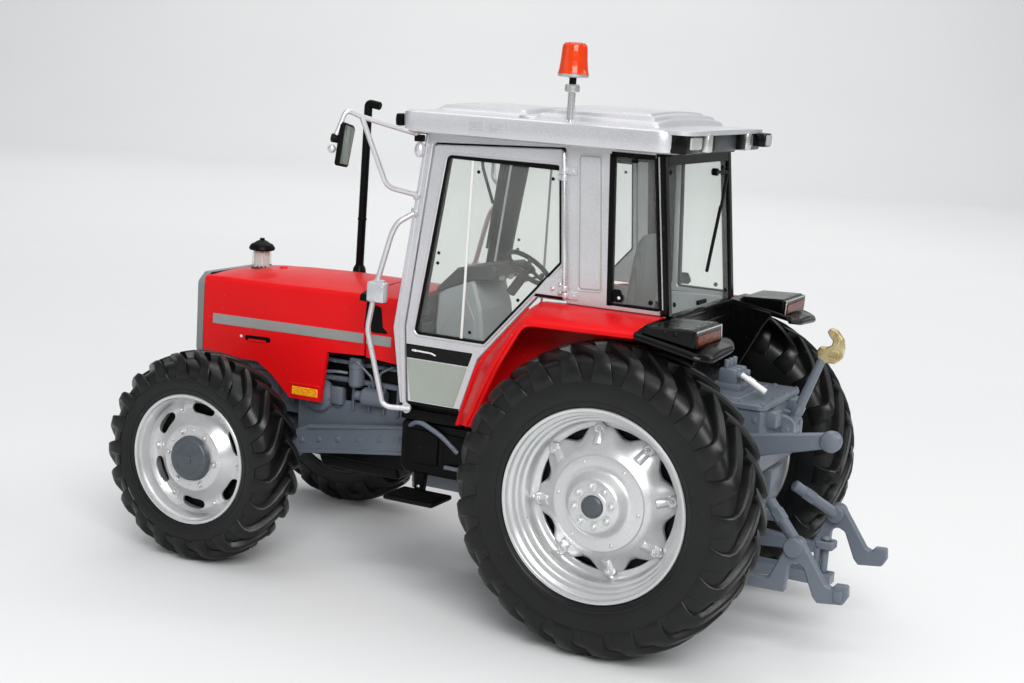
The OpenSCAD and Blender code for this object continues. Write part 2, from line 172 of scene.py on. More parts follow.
def paint(name, colour, rough=(0.28, 0.4), coat=0.5, coat_rough=0.08, peel=0.012, peel_scale=700.0,
          dust=0.05, speck=(0.8, 0.8, 0.78), metallic=0.0, flake=0.0, vary=0.06, spec=0.5):
    n = Nodes(name)
    broad = n.ramp(n.noise(55, 3), (0.3, tint(colour, 1 - vary)), (0.7, tint(colour, 1 + vary)))
    col = broad
    if flake:
        grain = n.ramp(n.noise(5200, 1, 0.3), (0.3, 0.3), (0.7, 0.7))
        col = n.mix(flake, col, n.mix(1.0, col, grain, "OVERLAY"))
    specks = n.ramp(n.noise(1500, 2, 0.4), (0.70, 0.0), (0.76, dust * 5))
    col = n.mix(specks, col, speck)
    n.base(col)
    n.rough(n.span(n.noise(160, 5), rough[0], rough[1]))
    fine = n.bump(n.noise(peel_scale, 3), 0.35, peel)
    n.normal(n.bump(n.noise(70, 2), 0.2, peel * 3, fine))
    n.set(Metallic=metallic, Coat_Weight=coat, Coat_Roughness=coat_rough, Specular_IOR_Level=spec)
    M[name] = n.mat
    return n


paint("red_enamel", (0.70, 0.005, 0.007), rough=(0.34, 0.46), coat=0.1, coat_rough=0.1, dust=0.012, spec=0.12, vary=0.04)
paint("silver_enamel", lin(208, 209, 212), rough=(0.3, 0.42), coat=0.2, coat_rough=0.12, metallic=0.6,
      flake=0.3, dust=0.012, peel=0.006)
paint("rim_silver", lin(208, 209, 209), rough=(0.27, 0.4), coat=0.15, coat_rough=0.15, metallic=0.7,
      flake=0.2, dust=0.015, peel=0.007)
paint("casting_enamel", lin(94, 102, 112), rough=(0.36, 0.5), coat=0.2, coat_rough=0.25, peel=0.03,
      peel_scale=420.0, dust=0.02)
paint("hub_enamel", lin(66, 73, 79), rough=(0.34, 0.48), coat=0.15, coat_rough=0.2, peel=0.02, peel_scale=450.0,
      dust=0.02)
paint("casting_dark", lin(50, 56, 60), rough=(0.42, 0.58), coat=0.1, coat_rough=0.3, peel=0.03,
      peel_scale=480.0, dust=0.02)
paint("gloss_black", lin(5, 5, 5), rough=(0.2, 0.32), coat=0.08, coat_rough=0.08, peel=0.008, dust=0.012,
      speck=(0.2, 0.2, 0.19), spec=0.18)
paint("black_plastic", lin(7, 7, 8), rough=(0.34, 0.5), coat=0.0, peel=0.018, peel_scale=1500.0, dust=0.012,
      speck=(0.16, 0.16, 0.16), spec=0.12)
paint("panel_grey", lin(154, 162, 152), rough=(0.34, 0.46), coat=0.2, coat_rough=0.2, metallic=0.1, dust=0.02,
      peel=0.006)
paint("stripe_silver", lin(150, 150, 148), rough=(0.3, 0.42), coat=0.2, metallic=0.3, flake=0.2, dust=0.02, peel=0.004)
paint("grille_grey", lin(124, 128, 128), rough=(0.35, 0.5), coat=0.1, metallic=0.2, dust=0.02, peel=0.012)
paint("bright_metal", lin(214, 214, 212), rough=(0.18, 0.34), coat=0.0, metallic=0.85, dust=0.0, peel=0.008,
      peel_scale=1800.0)
paint("console_grey", lin(164, 168, 171), rough=(0.42, 0.56), coat=0.0, peel=0.02, peel_scale=1700.0, dust=0.02)
paint("console_dark", lin(58, 60, 62), rough=(0.45, 0.6), coat=0.0, peel=0.02, peel_scale=1700.0, dust=0.01)
paint("white_trim", lin(222, 223, 220), rough=(0.35, 0.5), coat=0.1, peel=0.006, dust=0.0)
paint("mirror_face", lin(150, 158, 152), rough=(0.06, 0.14), coat=0.0, metallic=0.7, peel=0.002, dust=0.0, vary=0.03)


def rubber():
    n = Nodes("rubber")
    base = n.ramp(n.noise(90, 5), (0.3, lin(7, 7, 8)), (0.7, lin(13, 14, 14)))
    # pale specks on the rubber: partly dust and lint, partly painted glints of light
    dust_and_glint_specks = n.ramp(n.noise(2600, 3, 0.5), (0.70, 0.0), (0.75, 0.3))
    lint_and_glint_specks = n.ramp(n.noise(700, 2, 0.5), (0.76, 0.0), (0.81, 0.35))
    col = n.mix(dust_and_glint_specks, base, lin(70, 72, 68))
    n.base(n.mix(lint_and_glint_specks, col, lin(120, 120, 114)))
    n.rough(n.span(n.noise(260, 4), 0.3, 0.46))
    fine = n.bump(n.noise(3200, 3), 0.4, 0.02)
    n.normal(n.bump(n.noise(420, 3), 0.3, 0.05, fine))
    n.set(Specular_IOR_Level=0.34)
    M["rubber"] = n.mat


def glazing():
    n = Nodes("clear_sheet")
    # pale base colour: partly haze of the plastic sheet, partly a painted pale sheen that stands in for reflections
    n.base(n.ramp(n.noise(60, 3), (0.3, lin(196, 202, 200)), (0.7, lin(214, 218, 214))))
    n.rough(n.span(n.noise(120, 4), 0.03, 0.12))
    n.normal(n.bump(n.noise(45, 2), 0.15, 0.02))
    n.set(Specular_IOR_Level=0.5)
    clear = n.new("ShaderNodeBsdfTransparent")
    clear.inputs["Color"].default_value = (0.97, 0.98, 0.97, 1)
    mix = n.new("ShaderNodeMixShader")
    n.link(n.span(n.noise(38, 5, 0.6), 0.05, 0.12), mix.inputs[0])
    n.link(clear.outputs[0], mix.inputs[1])
    n.link(n.bsdf.outputs[0], mix.inputs[2])
    n.link(mix.outputs[0], n.out.inputs["Surface"])
    M["clear_sheet"] = n.mat


def amber_shell():
    n = Nodes("amber_shell")
    n.base(n.ramp(n.noise(200, 3), (0.3, lin(226, 60, 4)), (0.7, lin(244, 84, 8))))
    n.rough(n.span(n.noise(300, 3), 0.08, 0.18))
    ribs = n.wave(320, "Z", distortion=0.3)
    n.normal(n.bump(ribs, 0.12, 0.05))
    n.set(Coat_Weight=0.6, Coat_Roughness=0.05, Specular_IOR_Level=0.5)
    clear = n.new("ShaderNodeBsdfTransparent")
    clear.inputs["Color"].default_value = (1.0, 0.33, 0.04, 1)
    mix = n.new("ShaderNodeMixShader")
    n.link(n.span(n.noise(90, 3), 0.5, 0.62), mix.inputs[0])
    n.link(clear.outputs[0], mix.inputs[1])
    n.link(n.bsdf.outputs[0], mix.inputs[2])
    n.link(mix.outputs[0], n.out.inputs["Surface"])
    M["amber_shell"] = n.mat


def amber_lens():
    n = Nodes("amber_lens")
    cells = n.voronoi(2600)
    n.base(n.ramp(cells, (0.1, lin(128, 52, 6)), (0.7, lin(80, 28, 4))))
    n.rough(n.span(n.noise(500, 3), 0.1, 0.22))
    n.normal(n.bump(cells, 0.5, 0.08))
    n.set(Coat_Weight=0.08, Coat_Roughness=0.05, Specular_IOR_Level=0.15)
    M["amber_lens"] = n.mat
    n = Nodes("yellow_lens")
    cells = n.voronoi(2800)
    n.base(n.ramp(cells, (0.1, lin(255, 196, 40)), (0.75, lin(240, 140, 20))))
    n.rough(n.span(n.noise(500, 3), 0.15, 0.3))
    n.normal(n.bump(cells, 0.5, 0.06))
    n.set(Coat_Weight=0.3, Coat_Roughness=0.08)
    M["yellow_lens"] = n.mat
    n = Nodes("lamp_lens")
    lines = n.wave(950, "Y")
    n.base(n.ramp(lines, (0.2, lin(214, 216, 214)), (0.8, lin(160, 164, 164))))
    n.rough(n.span(n.noise(400, 3), 0.08, 0.2))
    n.normal(n.bump(lines, 0.5, 0.1))
    n.set(Metallic=0.3, Coat_Weight=0.7, Coat_Roughness=0.04)
    M["lamp_lens"] = n.mat
    n = Nodes("red_lens")
    cells = n.voronoi(2600)
    n.base(n.ramp(cells, (0.1, lin(150, 16, 10)), (0.7, lin(96, 8, 6))))
    n.rough(n.span(n.noise(500, 3), 0.1, 0.22))
    n.normal(n.bump(cells, 0.5, 0.08))
    n.set(Coat_Weight=0.5, Coat_Roughness=0.05)
    M["red_lens"] = n.mat


def brass():
    n = Nodes("pale_brass")
    tarnish = n.noise(380, 6, 0.65)
    n.base(n.ramp(tarnish, (0.35, lin(150, 126, 84)), (0.5, lin(206, 188, 140)), (0.75, lin(228, 214, 172))))
    n.rough(n.span(n.noise(800, 4), 0.28, 0.5))
    n.normal(n.bump(n.noise(900, 4), 0.5, 0.06))
    n.set(Metallic=0.75)
    M["pale_brass"] = n.mat


def seat_cloth():
    n = Nodes("seat_cloth")
    weave = n.mix(0.5, n.wave(900, "Y"), n.wave(900, "Z"), "MULTIPLY")
    n.base(n.mix(n.noise(140, 4), n.ramp(weave, (0.1, lin(74, 77, 80)), (0.8, lin(112, 115, 118))), lin(92, 95, 98)))
    n.rough(n.span(n.noise(600, 4), 0.7, 0.9))
    n.normal(n.bump(weave, 0.4, 0.06))
    n.set(Sheen_Weight=0.2, Specular_IOR_Level=0.3)
    M["seat_cloth"] = n.mat


rubber()
glazing()
amber_shell()
amber_lens()
brass()
seat_cloth()


# ---------------------------------------------------------------- shapes
def area2(loop):
    return sum(loop[i - 1][0] * loop[i][1] - loop[i][0] * loop[i - 1][1] for i in range(len(loop)))


def ccw(loop):
    return list(loop) if area2(loop) > 0 else list(loop)[::-1]


def clean(loop):
    out = []
    for p in loop:
        if not out or hypot(p[0] - out[-1][0], p[1] - out[-1][1]) > 1e-4:
            out.append((p[0], p[1]))
    if len(out) > 1 and hypot(out[0][0] - out[-1][0], out[0][1] - out[-1][1]) < 1e-4:
        out.pop()
    return out


def rounded(loop, r, n=5):
    out = []
    N = len(loop)
    for i, p in enumerate(loop):
        ri = r[i] if isinstance(r, (list, tuple)) else r
        b = Vector((p[0], p[1]))
        u = Vector(loop[i - 1][:2]) - b
        v = Vector(loop[(i + 1) % N][:2]) - b
        lu, lv = u.length, v.length
        if ri <= 0 or lu < 1e-6 or lv < 1e-6:
            out.append((b.x, b.y))
            continue
        u /= lu
        v /= lv
        ang = acos(max(-1, min(1, u.dot(v))))
        if ang > pi - 0.06 or ang < 0.05:
            out.append((b.x, b.y))
            continue
        t = min(ri / tan(ang / 2), lu * 0.48, lv * 0.48)
        rr = t * tan(ang / 2)
        c = b + (u + v).normalized() * (rr / sin(ang / 2))
        p0, p1 = b + u * t - c, b + v * t - c
        a0, a1 = atan2(p0.y, p0.x), atan2(p1.y, p1.x)
        d = (a1 - a0 + pi) % (2 * pi) - pi
        for k in range(n + 1):
            a = a0 + d * k / n
            out.append((c.x + rr * cos(a), c.y + rr * sin(a)))
    return out


def inset(loop, d):
    out = []
    N = len(loop)
    for i in range(N):
        a, b, c = Vector(loop[i - 1]), Vector(loop[i]), Vector(loop[(i + 1) % N])
        e1, e2 = (b - a).normalized(), (c - b).normalized()
        n1, n2 = Vector((-e1.y, e1.x)), Vector((-e2.y, e2.x))
        m = n1 + n2
        m = m.normalized() if m.length > 1e-6 else n1
        k = d / max(m.dot(n1), 0.35)
        out.append((b.x + m.x * k, b.y + m.y * k))
    return out


def plate(outer, w0, w1, holes=(), bevel=0.12):
    loops = [ccw(clean(outer))] + [ccw(clean(h))[::-1] for h in holes]
    V, F, lower, upper = [], [], [], []
    for loop in loops:
        n, i0 = len(loop), len(V)
        for w, d in ((w0, bevel), (w0 + bevel, 0), (w1 - bevel, 0), (w1, bevel)):
            V += [(p[0], p[1], w) for p in (inset(loop, d) if d else loop)]
        for k in range(3):
            for i in range(n):
                j = (i + 1) % n
                F.append((i0 + k * n + i, i0 + k * n + j, i0 + (k + 1) * n + j, i0 + (k + 1) * n + i))
        lower.append(range(i0, i0 + n))
        upper.append(range(i0 + 3 * n, i0 + 4 * n))
    for rings, flip in ((lower, True), (upper, False)):
        flat = [i for r in rings for i in r]
        for t in tessellate_polygon([[Vector(V[i]) for i in r] for r in rings]):
            f = tuple(flat[i] for i in t)
            F.append(f[::-1] if flip else f)
    return V, F


def rbox(a, b, r=0.22, n=2):
    lo = [min(a[i], b[i]) for i in range(3)]
    hi = [max(a[i], b[i]) for i in range(3)]
    c = [(lo[i] + hi[i]) / 2 for i in range(3)]
    h = [(hi[i] - lo[i]) / 2 for i in range(3)]
    r = min(r, min(h) * 0.95)
    V, F, rows = [], [], []
    for half in (-1, 1):
        for k in range(n + 1):
            lat = radians(-90 + 90 * k / n) if half < 0 else radians(90 * k / n)
            pole = abs(abs(lat) - pi / 2) < 1e-6
            row = []
            for q in range(4):
                sx = 1 if q in (0, 3) else -1
                sy = 1 if q in (0, 1) else -1
                for m in range(1 if pole else n + 1):
                    th = radians(90 * (q + m / n))
                    V.append((c[0] + sx * (h[0] - r) + r * cos(lat) * cos(th),
                              c[1] + sy * (h[1] - r) + r * cos(lat) * sin(th),
                              c[2] + half * (h[2] - r) + r * sin(lat)))
                    row.append(len(V) - 1)
            rows.append(row)
    for a_, b_ in zip(rows, rows[1:]):
        if len(a_) == len(b_):
            L = len(a_)
            for i in range(L):
                F.append((a_[i], a_[(i + 1) % L], b_[(i + 1) % L], b_[i]))
        else:
            small, big, up = (a_, b_, True) if len(a_) == 4 else (b_, a_, False)
            for q in range(4):
                for m in range(n):
                    t = (small[q], big[q * (n + 1) + m + 1], big[q * (n + 1) + m])
                    F.append(t if up else t[::-1])
                q2 = (q + 1) % 4
                t = (small[q], small[q2], big[q2 * (n + 1)], big[q * (n + 1) + n])
                F.append(t if up else t[::-1])
    F.append(tuple(rows[0][::-1]))
    F.append(tuple(rows[-1]))
    return V, F


def lathe(profile, n=48, closed=False):
    V, F, rings = [], [], []
    for r, h in profile:
        if abs(r) < 1e-6:
            V.append((0, 0, h))
            rings.append([len(V) - 1])
        else:
            i0 = len(V)
            V += [(r * sin(2 * pi * k / n), r * cos(2 * pi * k / n), h) for k in range(n)]
            rings.append(list(range(i0, i0 + n)))
    pairs = list(zip(rings, rings[1:]))
    if closed:
        pairs.append((rings[-1], rings[0]))
    for a, b in pairs:
        if len(a) == 1 and len(b) == 1:
            continue
        for k in range(n):
            k2 = (k + 1) % n
            if len(a) == 1:
                F.append((a[0], b[k2], b[k]))
            elif len(b) == 1:
                F.append((a[k], a[k2], b[0]))
            else:
                F.append((a[k], a[k2], b[k2], b[k]))
    return V, F


def towards(origin, axis, spin=None):
    z = Vector(axis).normalized()
    x = Vector(spin) if spin else (Vector((0, 0, 1)) if abs(z.z) < 0.9 else Vector((1, 0, 0)))
    x = (x - z * x.dot(z)).normalized()
    y = z.cross(x)
    m = Matrix((x, y, z)).transposed().to_4x4()
    m.translation = Vector(origin)
    return m


def moved(shape, m):
    return [tuple(m @ Vector(v)) for v in shape[0]], shape[1]


def cyl(a, b, r, r2=None, bevel=0.12, n=32):
    a, b = Vector(a), Vector(b)
    h = (b - a).length
    r2 = r if r2 is None else r2
    e = min(bevel, r * 0.5, r2 * 0.5, h * 0.4)
    prof = [(0, 0), (r - e, 0), (r - e * 0.3, e * 0.3), (r, e), (r2, h - e), (r2 - e * 0.3, h - e * 0.3), (r2 - e, h), (0, h)]
    return moved(lathe(prof, n), towards(a, b - a))


def revolve(profile, origin, axis, n=48, closed=False, spin=None):
    return moved(lathe(profile, n, closed), towards(origin, axis, spin))


def hexhead(p, axis, r=0.4, h=0.3, washer=True, spin=None):
    shapes = [revolve([(0, 0), (r, 0), (r, h * 0.8), (r * 0.86, h), (0, h)], p, axis, 6, spin=spin)]
    if washer:
        shapes.append(revolve([(0, 0), (r * 1.45, 0), (r * 1.45, h * 0.25), (r * 1.3, h * 0.32), (0, h * 0.32)], p, axis, 20))
    return shapes


def dome(p, axis, r=0.35, h=0.25, n=20):
    prof = [(r, -0.1)] + [(r * cos(t * pi / 10), h * sin(t * pi / 10)) for t in range(0, 5)] + [(0, h)]
    return revolve(prof, p, axis, n)


def loft(rings, caps=True, closed=True):
    V, F = [], []
    n = len(rings[0])
    for r in rings:
        V += [tuple(p) for p in r]
    span = n if closed else n - 1
    for k in range(len(rings) - 1):
        for i in range(span):
            j = (i + 1) % n
            F.append((k * n + i, k * n + j, (k + 1) * n + j, (k + 1) * n + i))
    if caps:
        F.append(tuple(range(n))[::-1])
        F.append(tuple(range((len(rings) - 1) * n, len(rings) * n)))
    return V, F


def shell(top, bottom):
    R, C = len(top), len(top[0])
    V = [tuple(p) for row in top for p in row] + [tuple(p) for row in bottom for p in row]
    o = R * C
    F = []
    for i in range(R - 1):
        for j in range(C - 1):
            a, b, c, d = i * C + j, i * C + j + 1, (i + 1) * C + j + 1, (i + 1) * C + j
            F.append((a, b, c, d))
            F.append((o + d, o + c, o + b, o + a))
    for i in range(R - 1):
        for j, rev in ((0, False), (C - 1, True)):
            a, b = i * C + j, (i + 1) * C + j
            f = (a, b, o + b, o + a)
            F.append(f[::-1] if rev else f)
    for j in range(C - 1):
        for i, rev in ((0, True), (R - 1, False)):
            a, b = i * C + j, i * C + j + 1
            f = (a, b, o + b, o + a)
            F.append(f[::-1] if rev else f)
    return V, F


def bent(points, fillet=1.2, n=6):
    P = [Vector(p) for p in points]
    out = [P[0]]
    for a, b, c in zip(P, P[1:], P[2:]):
        u, v = a - b, c - b
        d = min(fillet, u.length * 0.45, v.length * 0.45)
        p0, p1 = b + u.normalized() * d, b + v.normalized() * d
        for k in range(n + 1):
            t = k / n
            out.append(p0 * (1 - t) ** 2 + b * 2 * t * (1 - t) + p1 * t * t)
    out.append(P[-1])
    return out


def tube(points, r, fillet=1.2, n=14, steps=6, caps=True):
    P = bent(points, fillet, steps) if fillet else [Vector(p) for p in points]
    T = []
    for i in range(len(P)):
        a, b = P[max(0, i - 1)], P[min(len(P) - 1, i + 1)]
        T.append((b - a).normalized())
    u = T[0].orthogonal().normalized()
    rings = []
    radii = [r] * len(P) if not callable(r) else [r(i / (len(P) - 1)) for i in range(len(P))]

    def ring(c, u, w, rad):
        return [c + u * (rad * cos(2 * pi * k / n)) + w * (rad * sin(2 * pi * k / n)) for k in range(n)]

    for i, c in enumerate(P):
        u = (u - T[i] * u.dot(T[i])).normalized()
        w = T[i].cross(u)
        if caps and i == 0:
            rings.append(ring(c, u, w, radii[i] * 0.75))
            rings.append(ring(c + T[i] * radii[i] * 0.2, u, w, radii[i]))
        elif caps and i == len(P) - 1:
            rings.append(ring(c - T[i] * radii[i] * 0.2, u, w, radii[i]))
            rings.append(ring(c, u, w, radii[i] * 0.75))
        else:
            rings.append(ring(c, u, w, radii[i]))
    return loft(rings)


def curve_through(points, n=4):
    P = [Vector(p) for p in points]
    P = [P[0] * 2 - P[1]] + P + [P[-1] * 2 - P[-2]]
    out = []
    for i in range(1, len(P) - 2):
        a, b, c, d = P[i - 1:i + 3]
        for k in range(n):
            t = k / n
            out.append(0.5 * ((2 * b) + (c - a) * t + (2 * a - 5 * b + 4 * c - d) * t * t + (3 * b - a - 3 * c + d) * t ** 3))
    out.append(P[-2])
    return [tuple(p) for p in out]


def along(points, x):
    for (a, za), (b, zb) in zip(points, points[1:]):
        if (a <= x <= b) or (a >= x >= b):
            t = 0 if a == b else (x - a) / (b - a)
            return za + (zb - za) * t
    return points[0][1] if abs(x - points[0][0]) < abs(x - points[-1][0]) else points[-1][1]


XZ = lambda u, v, w: (u, w, v)   # outline in x,z, depth along y
YZ = lambda u, v, w: (w, u, v)   # outline in y,z, depth along x
XY = lambda u, v, w: (u, v, w)   # outline in x,y, depth along z


class Piece:
    made = []

    def __init__(self, name, body="chassis", nodes=(), slot=None, angle=33.0):
        self.name, self.body, self.nodes, self.slot, self.angle = name, body, nodes, slot, angle
        self.v, self.f, self.m, self.mats, self.cur = [], [], [], [], 0

    def use(self, name):
        if name not in self.mats:
            self.mats.append(name)
        self.cur = self.mats.index(name)
        return self

    def add(self, shape, mp=None):
        V, F = shape
        o = len(self.v)
        self.v += [mp(*p) for p in V] if mp else [tuple(p) for p in V]
        self.f += [tuple(i + o for i in f) for f in F]
        self.m += [self.cur] * len(F)
        return self

    def many(self, shapes):
        for s in shapes:
            self.add(s)
        return self

    def box(self, a, b, r=0.22, n=2):
        return self.add(rbox(a, b, r, n))

    def bolts(self, points, axis, r=0.4, h=0.3, washer=True):
        for p in points:
            self.many(hexhead(p, axis, r, h, washer))
        return self

    def mirror(self, start=(0, 0)):
        v0, f0 = start
        o = len(self.v) - v0
        extra = [(p[0], -p[1], p[2]) for p in self.v[v0:]]
        faces = self.f[f0:]
        mats = self.m[f0:]
        self.v += extra
        self.f += [tuple(i + o for i in f)[::-1] for f in faces]
        self.m += mats
        return self

    def mark(self):
        return (len(self.v), len(self.f))

    def flipped(self):
        self.v = [(p[0], -p[1], p[2]) for p in self.v]
        self.f = [f[::-1] for f in self.f]
        return self

    def done(self):
        me = bpy.data.meshes.new(self.name)
        me.from_pydata([((x - XC) * 0.001, y * 0.001, z * 0.001) for x, y, z in self.v], [], self.f)
        for m in self.mats:
            me.materials.append(M[m])
        me.polygons.foreach_set("material_index", self.m)
        bm = bmesh.new()
        bm.from_mesh(me)
        bmesh.ops.recalc_face_normals(bm, faces=bm.faces)
        bm.to_mesh(me)
        bm.free()
        me.shade_smooth()
        me.set_sharp_from_angle(angle=radians(self.angle))
        me.validate()
        ob = bpy.data.objects.new(self.name, me)
        scene.collection.objects.link(ob)
        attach(ob, self.body)
        if self.nodes:
            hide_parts(*self.nodes)
        Piece.made.append(ob)
        return ob


# ---------------------------------------------------------------- wheels
def wheel_place(node, s):
    lo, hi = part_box(node)
    cx, cy, cz = [(lo[i] + hi[i]) * 500.0 for i in range(3)]
    return lambda a, b, h: (cx + XC + a, cy + s * h, cz + b)


REAR_HALF = [(24.2, 0), (24.2, 2.0), (24.1, 3.8), (23.75, 5.1), (23.0, 5.95), (21.8, 6.4), (20.2, 6.6), (18.6, 6.62),
             (17.5, 6.52), (16.8, 6.3), (16.4, 6.08), (16.15, 6.0), (16.0, 5.75), (15.6, 5.3)]
REAR_LUG = [((24.1, -0.5), (25.8, -0.5), -0.5, 0.8), ((24.1, 0.4), (25.8, 0.4), 0.45, 1.0),
            ((24.1, 1.8), (25.78, 1.8), 2.0, 1.12), ((24.0, 3.2), (25.7, 3.2), 3.8, 1.18),
            ((23.8, 4.6), (25.55, 4.7), 5.8, 1.2), ((23.5, 5.1), (25.32, 5.85), 7.2, 1.2),
            ((23.0, 5.5), (24.7, 6.45), 7.55, 1.26), ((22.2, 5.9), (23.4, 6.74), 7.75, 1.42),
            ((21.0, 6.25), (21.8, 6.79), 7.85, 1.66), ((20.5, 6.35), (20.85, 6.7), 7.85, 1.72)]
REAR_LUG_OUT = [((24.1, -0.5), (25.8, -0.5), -0.5, 0.8), ((24.1, 0.4), (25.8, 0.4), 0.45, 1.0),
                ((24.1, 1.8), (25.76, 1.8), 2.0, 1.12), ((23.9, 3.2), (25.45, 3.2), 3.8, 1.22),
                ((23.6, 4.4), (25.05, 4.5), 5.6, 1.28), ((23.1, 5.1), (24.6, 5.55), 6.9, 1.34),
                ((22.4, 5.6), (23.9, 6.25), 7.45, 1.42), ((21.6, 6.0), (22.8, 6.7), 7.75, 1.55),
                ((20.6, 6.3), (21.4, 6.79), 7.85, 1.76), ((20.0, 6.35), (20.4, 6.7), 7.85, 1.82)]
FRONT_HALF = [(18.1, 0), (18.05, 1.6), (17.8, 3.0), (17.3, 4.0), (16.6, 4.62), (15.8, 4.98), (14.9, 5.14), (13.9, 5.14),
              (13.1, 5.02), (12.6, 4.86), (12.3, 4.78), (12.1, 4.65), (12.0, 4.4), (11.7, 4.1)]
FRONT_LUG = [((18.0, -0.4), (19.4, -0.4), -0.35, 0.68), ((18.0, 0.3), (19.4, 0.3), 0.35, 0.82),
             ((17.95, 1.4), (19.35, 1.4), 1.6, 0.92), ((17.75, 2.6), (19.15, 2.6), 3.1, 0.97),
             ((17.4, 3.5), (18.85, 3.7), 4.5, 1.0), ((16.9, 3.95), (18.2, 4.6), 5.5, 1.02),
             ((16.3, 4.3), (17.35, 5.05), 5.85, 1.08), ((15.7, 4.6), (16.4, 5.3), 6.05, 1.18),
             ((15.0, 4.8), (15.5, 5.35), 6.1, 1.3), ((14.7, 4.9), (14.95, 5.28), 6.1, 1.34)]


def tyre(node, body, s, half, lug, lug_in, N, R, beads, phase=0.0):
    at = wheel_place(node, s)
    p = Piece(node + "_tread", body, (node,), "tyre", angle=38).use("rubber")
    prof = curve_through(half, 4)
    full = [(r, -h) for r, h in reversed(prof[1:])] + prof
    p.add(lathe(full, 168), at)
    for r, h, w, d in beads:
        for g in (1, -1):
            p.add(lathe([(r - w, g * (h - 0.12)), (r - w * 0.5, g * (h + d)), (r + w * 0.5, g * (h + d)), (r + w, g * (h - 0.12))],
                        144, True), at)
    for side in (1, -1):
        for k in range(N):
            phi0 = 2 * pi * (k + (0.5 if side < 0 else 0.0)) / N + phase
            rings = []
            for (br, bh), (tr, th), lag, w in (lug if side > 0 else lug_in):
                phi = phi0 - lag / R
                ring = []
                for e, t in ((-w - 0.32, 0.0), (-w - 0.05, 0.7), (-w + 0.06, 0.91), (-w + 0.28, 1.0),
                             (w - 0.28, 1.0), (w - 0.06, 0.91), (w + 0.05, 0.7), (w + 0.32, 0.0)):
                    r = br + (tr - br) * t
                    h = (bh + (th - bh) * t) * side
                    a = phi + e / r
                    ring.append(at(r * sin(a), r * cos(a), h))
                rings.append(ring)
            p.add(loft(rings))
    return p.done()


def polar_disc(at, prof, r_in, edge, edge_h, thick, p, n=192):
    """Pressed disc: prof gives (r, h) out to r_in, then the sheet runs to edge(phi)."""
    rows = []
    for k in range(n + 1):
        phi = 2 * pi * k / n
        row = [(r * sin(phi), r * cos(phi), h) for r, h in prof]
        ro = edge(phi)
        h0 = prof[-1][1]
        for t in (0.35, 0.7, 0.93, 1.0):
            r = r_in + (ro - r_in) * t
            h = h0 + (edge_h - h0) * t - (0.12 if t == 1.0 else 0)
            row.append((r * sin(phi), r * cos(phi), h))
        rows.append(row)
    V, F = [], []
    C = len(rows[0])
    for row in rows[:-1]:
        V += row
    for i in range(n):
        j = (i + 1) % n
        for c in range(C - 1):
            F.append((i * C + c, i * C + c + 1, j * C + c + 1, j * C + c))
    o = len(V)
    V += [(x, y, h - thick) for x, y, h in V]
    F += [tuple(o + q for q in f)[::-1] for f in F]
    for i in range(n):
        j = (i + 1) % n
        F.append((i * C + C - 1, o + i * C + C - 1, o + j * C + C - 1, j * C + C - 1))
        F.append((i * C, j * C, o + j * C, o + i * C))
    p.add((V, F), at)


def slot_edge(count, inner, outer, half_deg, soft_deg, offset):
    step = 360.0 / count

    def edge(phi):
        d = abs((math.degrees(phi) - offset + step / 2) % step - step / 2)
        t = min(1.0, max(0.0, (d - half_deg) / soft_deg))
        t = t * t * (3 - 2 * t)
        return inner + (outer - inner) * t
    return edge


def slotted_disc(at, prof, r_slot, count, offset, half, width, thick, p, n=360):
    """Pressed disc with closed oval slots; prof gives (r, h) from hub to rim."""
    inner = [r for r, h in prof if r < r_slot - width - 0.05]
    outer = [r for r, h in prof if r > r_slot + width + 0.05]
    step = 360.0 / count
    V, gap = [], []
    for k in range(n):
        deg = 360.0 * k / n
        d = abs((deg - offset + step / 2) % step - step / 2)
        w = width * (1 - (d / half) ** 4) ** 0.5 if d < half else 0.0
        a, b = r_slot - w, r_slot + w
        rs = inner + [inner[-1] + (a - inner[-1]) * t for t in (0.5, 0.85, 1.0)]
        rs += [b + (outer[0] - b) * t for t in (0.0, 0.15, 0.5)] + outer
        phi = radians(deg)
        V += [(r * sin(phi), r * cos(phi), along(prof, r)) for r in rs]
        gap.append(w > 1e-6)
    C, c0, o = len(V) // n, len(inner) + 2, len(V)
    V += [(x, y, h - thick) for x, y, h in V]
    F = []
    for i in range(n):
        j = (i + 1) % n
        for c in range(C - 1):
            if c != c0:
                f = (i * C + c, i * C + c + 1, j * C + c + 1, j * C + c)
                F += [f, tuple(o + q for q in f)[::-1]]
        for c in [0, C - 1] + ([c0, c0 + 1] if gap[i] or gap[j] else []):
            F.append((i * C + c, o + i * C + c, o + j * C + c, j * C + c))
    p.add((V, F), at)


def on_wheel(at, phi_deg, r, h):
    a = radians(phi_deg)
    return at(r * sin(a), r * cos(a), h)


